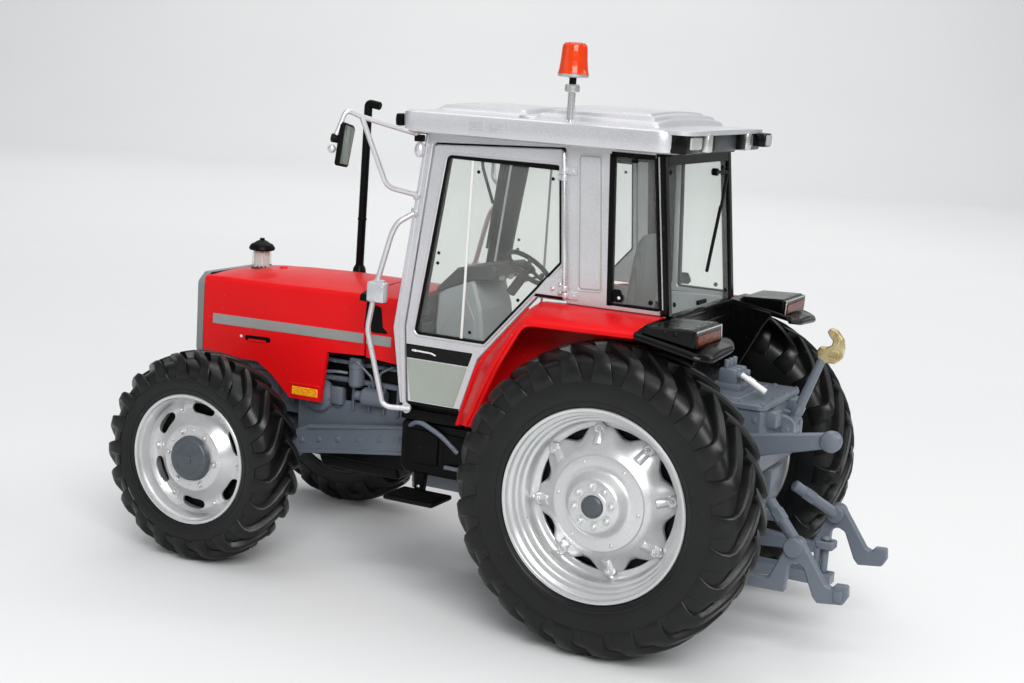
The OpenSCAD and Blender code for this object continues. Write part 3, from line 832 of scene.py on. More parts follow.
def rear_rim(node, body, s):
    at = wheel_place(node.replace("rim", "tyre"), s)
    out = (0, s, 0)
    p = Piece(node + "_dish", body, (node,), "rim_silver", angle=40).use("rim_silver")
    barrel = [(15.88, 5.7), (15.96, 5.93), (15.82, 6.1), (15.56, 6.12), (15.36, 5.98), (15.3, 5.6), (15.24, 5.25),
              (15.06, 5.05), (14.76, 4.98), (14.6, 4.78), (14.54, 4.3), (14.42, 4.02), (14.14, 3.92), (14.0, 3.7),
              (13.94, 3.1), (13.8, 2.86), (13.46, 2.76), (13.3, 2.56), (13.24, 1.0), (13.2, -5.5), (13.4, -5.9),
              (15.6, -6.0), (15.9, -5.75), (15.5, -5.5), (13.8, -5.2), (13.75, 2.2), (14.7, 4.2), (15.5, 5.5)]
    p.add(lathe(barrel, 144, True), at)
    prof = [(1.0, 5.42), (4.02, 5.42), (4.24, 5.34), (4.5, 5.05), (4.9, 4.4), (5.25, 3.86), (5.5, 3.58), (5.8, 3.46),
            (6.6, 3.42), (7.66, 3.38), (7.84, 3.33), (7.93, 3.12), (8.1, 3.0), (8.6, 2.72), (9.1, 2.3), (9.6, 1.75), (10.0, 1.3)]
    polar_disc(at, prof[:-1], 9.6, slot_edge(8, 10.6, 12.1, 1.5, 14.0, 31.2), 0.1, 0.55, p, 240)
    # inner flange of the rim that carries the disc's lobes
    p.add(lathe([(11.88, -0.5), (11.92, -0.12), (12.05, 0.0), (12.6, 0.1), (12.95, 0.28), (13.15, 0.6), (13.28, 1.0), (13.4, 0.2), (13.3, -0.7), (12.0, -0.75)], 144, True), at)
    for k in range(8):
        phi = 45 * k + 8.7
        b = on_wheel(at, phi, 11.6, 0.75)
        p.add(revolve([(1.05, -0.5), (1.0, 0.0), (0.8, 0.2), (0, 0.25)], b, out, 24))
        p.use("bright_metal").many(hexhead(b, out, 0.58, 0.6, False))
        p.add(revolve([(0, 0.4), (0.3, 0.4), (0.3, 0.9), (0.2, 1.02), (0, 1.05)], b, out, 14))
        p.use("rim_silver")
        p.add(cyl(on_wheel(at, phi, 9.2, 1.75), on_wheel(at, phi, 11.7, 0.05), 0.9, 0.8, n=22))
        p.add(cyl(on_wheel(at, phi, 11.6, 0.5), on_wheel(at, phi, 12.9, 0.35), 0.55, 0.42, n=16))
        q = on_wheel(at, phi, 3.28, 5.38)
        p.many(hexhead(q, out, 0.62, 0.4, True))
        p.add(dome(tuple(q[i] + out[i] * 0.34 for i in range(3)), out, 0.5, 0.36, 16))
    for k in range(6):
        p.add(dome(on_wheel(at, 24 + 60 * k, 7.05, 3.4), out, 0.3, 0.22, 14))
    p.add(lathe([(2.45, 5.3), (2.45, 5.56), (2.3, 5.68), (1.95, 5.7), (1.9, 5.3)], 64), at)
    p.add(lathe([(0, 3.2), (4.0, 3.2), (4.0, -0.3), (0, -0.3)], 48), at)
    p.use("black_plastic").add(lathe([(9.4, -1.2), (13.25, -1.2), (13.25, -1.5), (9.4, -1.5)], 72, True), at)
    p.use("hub_enamel").add(lathe([(0, 6.12), (0.7, 6.1), (1.25, 6.0), (1.6, 5.84), (1.82, 5.6), (1.86, 5.2)], 48), at)
    p.add(lathe([(0.5, 6.0), (0.5, 6.16), (0.42, 6.2), (0, 6.2)], 24), at)
    return p.done()


def front_rim(node, body, s):
    at = wheel_place(node.replace("rim", "tyre"), s)
    out = (0, s, 0)
    p = Piece(node + "_dish", body, (node,), "rim_silver", angle=40).use("rim_silver")
    barrel = [(11.95, 4.5), (12.04, 4.68), (11.92, 4.84), (11.68, 4.88), (11.46, 4.78), (11.34, 4.5), (11.22, 4.2), (11.1, 4.05),
              (10.9, 3.7), (10.6, 2.8), (10.36, 2.0), (10.2, 1.4), (10.12, 0.6), (10.1, -4.4), (10.3, -4.7), (11.8, -4.74),
              (11.95, -4.5), (10.6, -4.1), (10.55, 1.2), (11.3, 3.8), (11.6, 4.3)]
    p.add(lathe(barrel, 128, True), at)
    prof = [(2.0, 3.35), (4.0, 3.35), (5.85, 3.35), (6.08, 3.28), (6.24, 3.12), (6.4, 2.92), (7.2, 2.2), (7.8, 1.72), (8.1, 1.5), (8.4, 1.34),
            (9.0, 1.26), (9.6, 1.26), (9.9, 1.42), (10.2, 1.85), (10.6, 2.6), (11.0, 3.4), (11.25, 4.05), (11.4, 4.4)]
    slotted_disc(at, prof, 9.0, 6, 55.0, 16.0, 0.95, 0.4, p)
    for k in range(6):
        b = on_wheel(at, 26 + 60 * k, 9.05, 1.24)
        p.add(revolve([(0.72, -0.2), (0.72, 0.05), (0.6, 0.15), (0, 0.18)], b, out, 24))
        p.use("bright_metal").many(hexhead(b, out, 0.44, 0.5, False))
        p.add(dome(tuple(b[i] + out[i] * 0.45 for i in range(3)), out, 0.3, 0.24, 12))
        b = on_wheel(at, 25.5 + 60 * k, 5.15, 3.34)
        p.many(hexhead(b, out, 0.5, 0.44, False))
        p.add(dome(tuple(b[i] + out[i] * 0.4 for i in range(3)), out, 0.34, 0.24, 12))
        p.use("rim_silver").add(revolve([(0.7, -0.1), (0.7, 0.08), (0.62, 0.14), (0, 0.14)], b, out, 20))
        p.add(dome(on_wheel(at, 57 + 60 * k, 5.15, 3.34), out, 0.26, 0.2, 12))
    p.use("hub_enamel").add(lathe([(0, 4.7), (2.4, 4.7), (2.52, 4.6), (2.7, 4.6), (2.82, 4.68), (3.4, 4.64), (3.75, 4.52), (3.96, 4.3),
                                       (4.05, 4.0), (4.08, 3.5), (4.2, 3.4), (4.2, 3.2)], 72), at)
    for k in range(6):
        p.many(hexhead(on_wheel(at, 60 * k + 10, 3.1, 4.62), out, 0.26, 0.18, False))
    p.add(lathe([(0.9, 4.65), (0.9, 4.86), (0.8, 4.94), (0, 4.96)], 6), at)
    p.use("rim_silver").add(lathe([(0, 0.6), (4.4, 0.6), (4.4, -0.6), (0, -0.6)], 48), at)
    p.use("black_plastic").add(lathe([(4.3, -0.15), (10.14, -0.15), (10.14, -0.5), (4.3, -0.5)], 64, True), at)
    return p.done()


for side, s in (("left", 1), ("right", -1)):
    tyre("tyre_rear_" + side, "wheel_rear_" + side, s, REAR_HALF, REAR_LUG_OUT, REAR_LUG, 25, 25.8,
         [(17.05, 6.3, 0.28, 0.16), (20.35, 6.58, 0.12, 0.07)], 0.03)
    tyre("tyre_front_" + side, "wheel_front_" + side, s, FRONT_HALF, FRONT_LUG, FRONT_LUG, 21, 19.4,
         [(12.95, 4.92, 0.22, 0.14), (15.2, 5.18, 0.1, 0.06)], 0.1)
    rear_rim("rim_rear_" + side, "wheel_rear_" + side, s)
    front_rim("rim_front_" + side, "wheel_front_" + side, s)


# ---------------------------------------------------------------- front axle and steering
def front_axle():
    p = Piece("front_axle_casting", "chassis", ("front_axle",), "casting_paint").use("casting_enamel")
    beam = [(-13.9, 17.2), (-6, 16.6), (6, 16.6), (13.9, 17.2), (13.9, 21.6), (6, 22.6), (-6, 22.6), (-13.9, 21.6)]
    p.add(plate(rounded(beam, 0.6), 78.6, 83.4, bevel=0.45), YZ)
    p.add(revolve([(0, 0), (3.2, 0), (4.3, 0.5), (4.85, 1.4), (4.9, 7.4), (4.4, 8.6), (3.2, 9.3), (0, 9.4)], (76.1, 0, 19.4), (1, 0, 0), 48))
    for k in range(10):
        a = radians(36 * k)
        p.bolts([(85.05, 4.0 * sin(a), 19.4 + 4.0 * cos(a))], (1, 0, 0), 0.3, 0.3, False)
    p.box((79.4, -1.8, 22), (82.6, 1.8, 25.2), 0.3)
    p.add(cyl((78.6, 0, 23.6), (83.4, 0, 23.6), 1.2))
    p.add(cyl((72, 0, 19.4), (76.4, 0, 19.4), 1.1))
    st = p.mark()
    p.add(revolve([(0, 0), (2.6, 0), (2.7, 0.3), (2.4, 0.6), (2.0, 5.0), (2.5, 8.4), (2.9, 9.2), (0, 9.2)], (81, 4.6, 19.4), (0, 1, 0), 36))
    fork = [(78.8, 12.7), (83.2, 12.7), (83.2, 26.1), (78.8, 26.1)]
    p.add(plate(rounded(fork, 0.7), 13.9, 15.4, bevel=0.25), XZ)
    for z in (12.6, 24.6):
        lug = [(78.8, 14.6), (78.75, 18.5)] + [(81 + 2.25 * cos(radians(a)), 18.5 + 2.25 * sin(radians(a))) for a in range(170, 0, -14)] + [(83.25, 18.5), (83.2, 14.6)]
        p.add(plate(lug, z, z + 1.6, bevel=0.2), XY)
    p.add(revolve([(0, 0), (1.3, 0), (1.3, 0.25), (1.0, 0.45), (0, 0.5)], (81, 18.5, 26.1), (0, 0, 1), 24))
    p.add(revolve([(0, 0), (1.3, 0), (1.3, 0.25), (1.0, 0.45), (0, 0.5)], (81, 18.5, 12.7), (0, 0, -1), 24))
    p.bolts([(79.6, 15.35, 25.2), (82.4, 15.35, 25.2), (79.6, 15.35, 13.5), (82.4, 15.35, 13.5)], (0, 1, 0), 0.3, 0.25)
    p.mirror(st)
    return p.done()


def knuckle(side, s):
    p = Piece("knuckle_casting_" + side, "knuckle_" + side, ("knuckle_" + side,), "casting_paint").use("casting_enamel")
    p.add(revolve([(1.02, 0), (2.1, 0), (2.4, 0.3), (2.4, 2.2), (2.55, 2.4), (2.55, 7.6), (2.4, 7.8), (2.4, 9.7), (2.1, 10), (1.02, 10)],
                  (81, 18.5, 14.4), (0, 0, 1), 40, True))
    p.add(revolve([(0, 0), (2.6, 0), (2.4, 1.6), (2.2, 2.4), (2.2, 4.6), (1.6, 5.0), (0, 5.0)], (81, 19.7, 19.4), (0, 1, 0), 36))
    p.add(cyl((81, 24.4, 19.4), (81, 28.4, 19.4), 1.15))
    arm = [(80.5, 17.3), (87.4, 17.4), (88.4, 17.55), (89.05, 18.2), (89.05, 18.8), (88.4, 19.45), (87.4, 19.6), (80.5, 19.7)]
    p.add(plate(rounded(arm, 0.3), 16.6, 18.2, bevel=0.18), XY)
    p.add(cyl((88, 18.5, 17.9), (88, 18.5, 20.3), 0.58))
    p.bolts([(88, 18.5, 20.2)], (0, 0, 1), 0.5, 0.3)
    if s < 0:
        p.flipped()
    return p.done()


def tie_rod():
    p = Piece("tie_rod_bar", "tie_rod", ("tie_rod",), "casting_paint").use("casting_enamel")
    p.add(tube([(88, -17.4, 19.1), (88, 17.4, 19.1)], 0.78, 0))
    st = p.mark()
    p.add(revolve([(0.64, 0), (1.15, 0), (1.3, 0.25), (1.3, 1.35), (1.15, 1.6), (0.64, 1.6)], (88, 18.5, 18.3), (0, 0, 1), 28, True))
    p.add(cyl((88, 13.6, 19.1), (88, 16.9, 19.1), 1.0, 0.95, n=6))
    p.add(cyl((88, 12.9, 19.1), (88, 13.5, 19.1), 1.05, n=6))
    p.mirror(st)
    return p.done()


front_axle()
knuckle("left", 1)
knuckle("right", -1)
tie_rod()


# ---------------------------------------------------------------- engine, gearbox, rear housing
def engine():
    p = Piece("engine_casting", "chassis", ("engine",), "casting_paint").use("casting_enamel")
    p.box((46.8, -8.8, 21.6), (72, 8.8, 30), 0.6)
    p.use("black_plastic").box((46.9, -8.5, 18.4), (71.8, 8.5, 22.2), 0.5)
    p.box((48, -8.4, 29), (71.6, 8.4, 38.6), 0.5)
    p.box((57, -9.6, 38), (86, 9.6, 48.6), 0.6)
    p.add(plate(rounded([(49, 18.4), (70, 18.4), (66, 17.4), (53, 17.4)], 0.4), -6.5, 6.5, bevel=0.4), XZ)
    p.use("casting_enamel")
    st = p.mark()
    # side frame rail with flanges and bolts
    rail = [(46.9, 22.0), (60, 20.2), (70.5, 18.6), (71.2, 20.0), (71.0, 23.2), (68.4, 24.4), (58, 26.0), (46.9, 27.6)]
    p.add(plate(rounded(rail, 0.5), 8.7, 10.7, bevel=0.3), XZ)
    rib = [(47.4, 26.9), (58, 25.3), (68.2, 23.7), (68.4, 24.2), (58, 25.9), (47.4, 27.5)]
    p.add(plate(rounded(rib, 0.15), 10.4, 11.0, bevel=0.12), XZ)
    rib = [(47.4, 22.0), (60, 20.3), (70.2, 18.8), (70.3, 19.3), (60, 20.9), (47.4, 22.6)]
    p.add(plate(rounded(rib, 0.15), 10.4, 11.0, bevel=0.12), XZ)
    p.bolts([(48.4, 10.7, 24.8), (52.4, 10.7, 24.2), (57, 10.7, 23.5), (61.4, 10.7, 22.8), (65.6, 10.7, 22.1), (69.4, 10.7, 21.4)], (0, 1, 0), 0.42, 0.34)
    # crankcase ribs and pads
    for x in (49.6, 52.6, 55.8, 59.2, 62.4):
        p.box((x, 8.6, 28.4), (x + 0.6, 9.3, 33.6), 0.14)
    p.box((48.2, 8.3, 33.4), (70.6, 9.3, 34.4), 0.2)
    p.box((48.2, 8.3, 36.8), (70.6, 9.1, 37.6), 0.2)
    p.bolts([(x, 9.25, 33.9) for x in (49.6, 53.2, 56.8, 60.4, 64, 67.6)], (0, 1, 0), 0.3, 0.28)
    p.bolts([(x, 9.05, 37.2) for x in (49.6, 53.2, 56.8, 60.4, 64, 67.6)], (0, 1, 0), 0.3, 0.28)
    # timing case bulge behind the front wheel
    p.add(revolve([(0, 0), (3.3, 0), (3.4, 0.4), (3.1, 1.1), (2.2, 1.5), (2.0, 1.9), (0, 2.0)], (67.2, 8.4, 30.2), (0, 1, 0), 36))
    for k in range(6):
        a = radians(60 * k + 20)
        p.bolts([(67.2 + 2.75 * sin(a), 9.55, 30.2 + 2.75 * cos(a))], (0, 1, 0), 0.26, 0.25, False)
    # filter, pump and small pipes
    p.add(revolve([(0, 0), (1.2, 0.1), (1.5, 0.5), (1.5, 3.6), (1.62, 3.7), (1.62, 4.3), (1.2, 4.7), (0, 4.8)], (58.6, 9.7, 33.0), (0, 0, 1), 28))
    p.box((57.4, 8.4, 37.2), (59.9, 10.6, 38.6), 0.3)
    p.add(revolve([(0, 0), (1.5, 0), (1.7, 0.3), (1.7, 4.3), (1.3, 4.8), (0, 4.9)], (52.2, 9.6, 31.6), (1, 0.12, 0), 28))
    p.add(revolve([(0, 0), (0.9, 0), (0.9, 1.2), (0.6, 1.5), (0, 1.5)], (57.0, 10.1, 31.6), (1, 0.12, 0), 20))
    p.add(tube([(55, 9.6, 33.2), (55, 10.3, 35.4), (58.4, 10.5, 38.0)], 0.24, 0.8, 10))
    p.add(tube([(53.4, 9.6, 33.2), (53.4, 10.3, 36.4), (50.2, 10.2, 38.2)], 0.24, 0.8, 10))
    p.add(tube([(61, 9.0, 35.2), (63, 10.0, 35.4), (66, 10.0, 35.0), (66.6, 9.2, 32)], 0.3, 0.9, 10))
    p.box((61.4, 8.2, 29.0), (64.2, 10.0, 32.6), 0.5)
    p.use("black_plastic")
    p.add(tube([(47.2, 9.2, 38.4), (50, 10.7, 38.5), (56, 10.9, 38.6), (57.4, 10.0, 38.8)], 0.42, 1.0, 12))
    p.box((60.6, 9.2, 32.8), (63.6, 10.2, 33.5), 0.2)
    p.use("casting_enamel")
    p.mirror(st)
    # oil pan with drain plug
    p.use("black_plastic")
    p.add(plate(rounded([(-7.4, 18.6), (7.4, 18.6), (6.0, 15.8), (-6.0, 15.8)], 0.5), 50.5, 68, bevel=0.5), YZ)
    p.bolts([(60, 0, 15.85)], (0, 0, -1), 0.6, 0.3)
    p.use("casting_enamel").box((46.2, -8.9, 21.4), (47.2, 8.9, 38.2), 0.3)
    return p.done()


def gearbox():
    p = Piece("gearbox_casting", "chassis", ("transmission",), "casting_paint").use("casting_enamel")
    p.box((20, -8.4, 16.2), (46.8, 8.4, 30.6), 0.7)
    p.box((-14, -8.9, 14.6), (20.4, 8.9, 30.8), 0.8)
    for x in (20.0, 33, 45.6):
        p.box((x - 0.5, -8.9, 15.8), (x + 0.6, 8.9, 30.8), 0.25)
    for x in (8.0, -4.0):
        p.box((x - 0.4, -9.2, 14.6), (x + 0.4, 9.2, 30.6), 0.2)
    # lift housing with cover flange
    lift = [(-19.6, 29.4), (-5, 29.4), (-5, 40.4), (-10.4, 41.0), (-19.6, 40.6)]
    p.add(plate(rounded(lift, 0.8), -9.8, 9.8, bevel=0.5), XZ)
    cover = [(-19.9, -10.2), (-6.4, -10.2), (-6.4, 10.2), (-19.9, 10.2)]
    p.add(plate(rounded(cover, 1.4), 40.4, 41.5, bevel=0.25), XY)
    p.add(plate(rounded([(-14.8, -8.4), (-8.2, -8.4), (-8.2, 8.4), (-14.8, 8.4)], 1.2), 41.3, 41.8, bevel=0.2), XY)
    for y in (-9.3, -3.2, 3.2, 9.3):
        p.bolts([(-19.2, y, 41.45), (-7.2, y, 41.45)], (0, 0, 1), 0.34, 0.28)
    for y in (-9.3, 9.3):
        p.bolts([(-15.4, y, 41.45), (-11.2, y, 41.45)], (0, 0, 1), 0.34, 0.28)
    # centre housing under the lift cover, rear face with its cover and power take-off
    p.add(plate(rounded([(-8.6, 15.4), (8.6, 15.4), (8.6, 29.8), (-8.6, 29.8)], 1.0), -16.6, -13.6, bevel=0.4), YZ)
    p.add(plate(rounded([(-6.4, 17), (6.4, 17), (6.4, 28.6), (-6.4, 28.6)], 2.2), -17.3, -16.3, bevel=0.25), YZ)
    for k in range(12):
        a = radians(30 * k + 15)
        p.bolts([(-17.25, 5.3 * max(-1, min(1, 1.25 * sin(a))), 22.8 + 4.8 * max(-1, min(1, 1.25 * cos(a))))], (-1, 0, 0), 0.32, 0.28)
    p.add(revolve([(0, 0), (2.1, 0), (2.1, 0.5), (1.5, 0.8), (1.5, 1.6), (0.8, 1.8), (0.8, 3.4), (0.6, 3.6), (0, 3.6)], (-17.2, 0, 20.6), (-1, 0, 0), 24))
    p.box((-20.0, -3.2, 24.2), (-16.4, 3.2, 29.4), 0.4)
    # small box under the top link bracket
    p.box((-21.2, 4.2, 37.4), (-18.8, 7.6, 40.2), 0.3)
    p.box((-21.2, -7.6, 37.2), (-19.2, -3.6, 40.6), 0.3)
    # spool valves
    p.box((-13.0, -2.9, 41.6), (-8.2, 2.9, 43.0), 0.3)
    for y in (-2.0, 0.0, 2.0):
        p.box((-12.2, y - 0.8, 42.8), (-8.9, y + 0.8, 45.4), 0.4)
        p.add(cyl((-12.9, y, 44.3), (-11.6, y, 44.3), 0.62))
        p.add(cyl((-10.0, y, 45.3), (-10.0, y, 46.6), 0.45))
        p.add(dome((-10.0, y, 46.6), (0, 0, 1), 0.5, 0.3, 16))
    p.use("white_trim").add(tube([(-13.4, 4.0, 45.0), (-17.9, 4.0, 42.6)], lambda t: 0.46 + 0.12 * t, 0, 14))
    p.use("casting_enamel")
    # lift shaft, link pivots and top link bracket
    st = p.mark()
    p.add(revolve([(0, 0), (2.6, 0), (2.6, 0.7), (2.3, 1.0), (0, 1.0)], (-14, 9.8, 34.1), (0, 1, 0), 32))
    p.box((-13.2, 8.3, 11.0), (-8.8, 11.0, 17.2), 0.5)
    p.add(cyl((-11, 8.9, 13), (-11, 13.52, 13), 0.96))
    p.add(dome((-11, 13.48, 13), (0, 1, 0), 1.35, 0.35, 24))
    ear = [(-22.9, 34.4), (-19.2, 33.4), (-19.2, 39.2), (-22.9, 38.4)]
    p.add(plate(rounded(ear, [1.4, 0.2, 0.2, 1.4]), 1.3, 2.5, bevel=0.18), XZ)
    p.bolts([(-21.4, 2.45, 36.4)], (0, 1, 0), 0.75, 0.35)
    p.bolts([(-6.4, 9.75, 33), (-6.4, 9.75, 38.6), (-18.2, 9.75, 31.2), (-18.2, 9.75, 38.8)], (0, 1, 0), 0.34, 0.28)
    p.bolts([(x, 8.85, 28.9) for x in (-11, -7.4, 11.4, 15.2)], (0, 1, 0), 0.34, 0.28)
    p.bolts([(x, 8.85, 16.4) for x in (-2, 3, 11.4, 15.2)], (0, 1, 0), 0.34, 0.28)
    # lift cylinder beside the housing
    p.add(revolve([(0, 0), (1.3, 0), (1.3, 8.0), (1.0, 8.2), (0.6, 8.2), (0.6, 11.4), (0, 11.5)], (-12.4, 10.4, 17.6), (-0.12, 0.05, 1), 24))
    p.mirror(st)
    p.add(cyl((-14, 10.6, 34.1), (-14, 12.9, 34.1), 1.15))
    p.add(cyl((-21.4, -2.4, 36.4), (-21.4, 2.4, 36.4), 0.68))
    p.add(revolve([(0, 0), (1.7, 0), (1.7, 0.3), (1.2, 0.5), (0, 0.55)], (-14, 12.75, 34.1), (0, 1, 0), 6))
    return p.done()


def rear_axle():
    p = Piece("rear_axle_casting", "chassis", ("rear_axle",), "casting_paint").use("casting_enamel")
    p.add(revolve([(0, 0), (6.0, 0), (6.0, 0.9), (5.0, 1.2), (4.5, 2.0), (4.2, 8.0), (4.6, 9.6), (5.2, 9.9), (5.2, 11.0), (4.2, 11.4), (2.9, 11.5),
                           (2.9, 16.4), (0, 16.5)], (0, 8.9, 25.8), (0, 1, 0), 40))
    p.add(cyl((0, 25, 25.8), (0, 30.5, 25.8), 1.45))
    for k in range(8):
        a = radians(45 * k)
        p.bolts([(5.4 * sin(a), 9.8, 25.8 + 5.4 * cos(a))], (0, 1, 0), 0.36, 0.3)
        p.bolts([(4.75 * sin(a + 0.3), 19.9, 25.8 + 4.75 * cos(a + 0.3))], (0, 1, 0), 0.3, 0.3, False)
    p.box((-1.0, 9.4, 29.4), (1.0, 18.6, 30.6), 0.3)
    p.box((-1.0, 9.4, 21.0), (1.0, 18.6, 22.0), 0.3)
    p.mirror()
    return p.done()


def front_support():
    p = Piece("front_frame_casting", "chassis", ("front_support",), "casting_paint").use("casting_enamel")
    p.box((72, -7, 25.2), (91.8, 7, 36), 0.6)
    p.box((73.6, -7.3, 27.0), (90.4, 7.3, 33.8), 0.4)
    nose = [(87.6, -5), (93.5, -3.05)] + [(93.5 + 3 * cos(radians(a)), 3 * sin(radians(a))) for a in range(-84, 85, 12)] + [(93.5, 3.05), (87.6, 5)]
    hole = [(93.5 + 0.82 * cos(radians(a)), 0.82 * sin(radians(a))) for a in range(0, 360, 15)]
    p.add(plate(nose, 25.1, 26.9, [hole], 0.25), XY)
    p.add(plate(nose, 29.1, 30.9, [hole], 0.25), XY)
    p.box((87.8, -4.6, 26.6), (91.4, 4.6, 29.4), 0.3)
    st = p.mark()
    p.bolts([(75, 7.25, 28.4), (75, 7.25, 32.4), (88.8, 7.25, 28.4), (88.8, 7.25, 32.4)], (0, 1, 0), 0.42, 0.34)
    p.box((77, 6.9, 28.2), (86.8, 7.7, 32.6), 0.3)
    p.mirror(st)
    p.bolts([(91.8, y, z) for y in (-5.6, 5.6) for z in (32.2, 34.8)], (1, 0, 0), 0.4, 0.34)
    p.use("black_plastic")
    p.add(cyl((93.5, 0, 25.0), (93.5, 0, 31.6), 0.6))
    p.add(dome((93.5, 0, 31.5), (0, 0, 1), 1.0, 0.5, 20))
    return p.done()


def drawbar():
    p = Piece("drawbar_casting", "chassis", ("drawbar",), "casting_paint").use("casting_enamel")
    bar = [(-8, -1.8), (-27.4, -1.8), (-28.4, -1.5), (-31.2, -1.5), (-31.2, 1.5), (-28.4, 1.5), (-27.4, 1.8), (-8, 1.8)]
    hole = [(-29.6 + 0.72 * cos(radians(a)), 0.72 * sin(radians(a))) for a in range(0, 360, 15)]
    p.add(plate(bar, 10.6, 12.6, [hole], 0.2), XY)
    p.add(plate(rounded([(-31.2, -1.5), (-28, -1.5), (-28, 1.5), (-31.2, 1.5)], 0.4), 16.8, 18.2, [hole], 0.2), XY)
    p.box((-28.9, -1.5, 11.8), (-28.0, 1.5, 17.4), 0.2)
    p.add(cyl((-29.6, 0, 11), (-29.6, 0, 18.6), 0.62))
    p.add(dome((-29.6, 0, 18.5), (0, 0, 1), 0.95, 0.4, 18))
    p.box((-13, -4, 12.2), (-8, 4, 14.6), 0.4)
    p.bolts([(-11.6, -2.8, 12.2), (-11.6, 2.8, 12.2)], (0, 0, -1), 0.4, 0.3)
    return p.done()


engine()
gearbox()
rear_axle()
front_support()
drawbar()


# ---------------------------------------------------------------- bonnet
TOP = [(46.9, 51.9), (56, 52.15), (60, 52.25), (66, 52.37), (72, 52.35), (79.6, 52.05), (86.7, 51.5), (90.6, 51.0), (92.4, 50.6)]
EDGE = [(46.9, 50.95), (57, 51.0), (66, 50.9), (73.5, 50.65), (88, 50.5), (92.4, 50.2)]


def hood_half(x, zb, hw, r, lift=0.0, n_side=7, n_arc=6, n_top=12):
    # side wall, soft shoulder, then the crowned top as far as the middle
    zs, zt = along(EDGE, x) + lift, along(TOP, x) + lift
    row = [(x, hw, zb + (zs - r - zb) * k / n_side) for k in range(n_side)]
    row += [(x, hw - r + r * cos(radians(76) * k / n_arc), zs - r + r * sin(radians(76) * k / n_arc)) for k in range(n_arc + 1)]
    y1, z1 = row[-1][1], row[-1][2]
    for k in range(1, n_top + 1):
        t = k / n_top
        row.append((x, y1 * (1 - t), z1 + (zt - z1) * (1 - (1 - t) ** 2)))
    return row


def hood_section(x, zb, hw, r, lift=0.0):
    row = hood_half(x, zb, hw, r, lift)
    return row + [(p[0], -p[1], p[2]) for p in row[:-1]][::-1]


def hood_shell(p, stations, thick=0.8):
    top = [hood_section(x, zb, hw, r) for x, zb, hw, r in stations]
    inner = [hood_section(x, zb, hw - thick, max(0.4, r - thick), -thick) for x, zb, hw, r in stations]
    p.add(shell(top, inner))


def bonnet():
    p = Piece("bonnet_skin", "chassis", ("bonnet",), "red_paint", angle=30).use("red_enamel")
    low = [(55.9, 39.6), (63.9, 39.2), (64.95, 29.5), (71.8, 29.4), (76.0, 33.2), (79.5, 35.3), (92.4, 35.3)]
    xs = [55.9, 56.1, 58, 60, 62, 63.9, 64.4, 64.95, 67, 69.5, 71.8, 73, 74.5, 76, 77.8, 79.5, 81, 83, 85, 87, 88.5, 90, 91, 91.8, 92.4]
    st = []
    for x in xs:
        hw = 12.0 if x < 86 else 12.0 - 0.35 * ((x - 86) / 6.4) ** 2
        st.append((x, along(low, x), hw, 0.95))
    hood_shell(p, st)
    m = p.mark()
    # dark seal over the shoulder at the rear edge, catch recess as a black plate (painted shade in the recess) and
    # skirt pocket
    p.use("black_plastic")
    rows = [[[v for v in hood_half(x, 49.7, 12.0 + d, 0.95, d) if v[1] > 6.4] for x in (55.75, 56.5, 57.35)] for d in (0.07, -0.1)]
    p.add(shell(rows[0], rows[1]))
    p.add(plate(rounded([(76.6, 39.15), (82.4, 38.95), (82.4, 39.95), (76.6, 40.15)], 0.4), 11.9, 12.06, bevel=0.05), XZ)
    p.use("red_enamel")
    p.add(plate(rounded([(77.6, 39.0), (81.6, 38.9), (81.6, 39.35), (77.6, 39.45)], 0.15), 11.95, 12.16, bevel=0.05), XZ)
    p.use("white_trim").add(dome((83.3, 12.0, 39.6), (0, 1, 0), 0.3, 0.12, 14))
    p.use("stripe_silver")
    stripe = [(50.4, 41.9), (90.1, 41.25), (90.1, 43.2), (50.4, 43.78)]
    p.add(plate(rounded([(56.2, 41.83), (90.0, 41.25), (90.0, 43.2), (56.2, 43.7)], 0.12), 11.9, 12.07, bevel=0.05), XZ)
    p.use("yellow_lens")
    p.add(plate(rounded([(65.6, 30.2), (71.3, 30.15), (71.3, 31.75), (65.6, 31.8)], 0.2), 11.85, 12.14, bevel=0.1), XZ)
    p.use("red_enamel")
    p.add(plate(rounded([(65.2, 32.05), (72.0, 32.0), (72.0, 32.45), (65.2, 32.5)], 0.2), 11.9, 12.2, bevel=0.1), XZ)
    p.mirror(m)
    # round cap on the bonnet top near the front
    p.add(dome((81.6, 1.0, 51.75), (0, 0, 1), 0.9, 0.55, 24))
    return p.done()


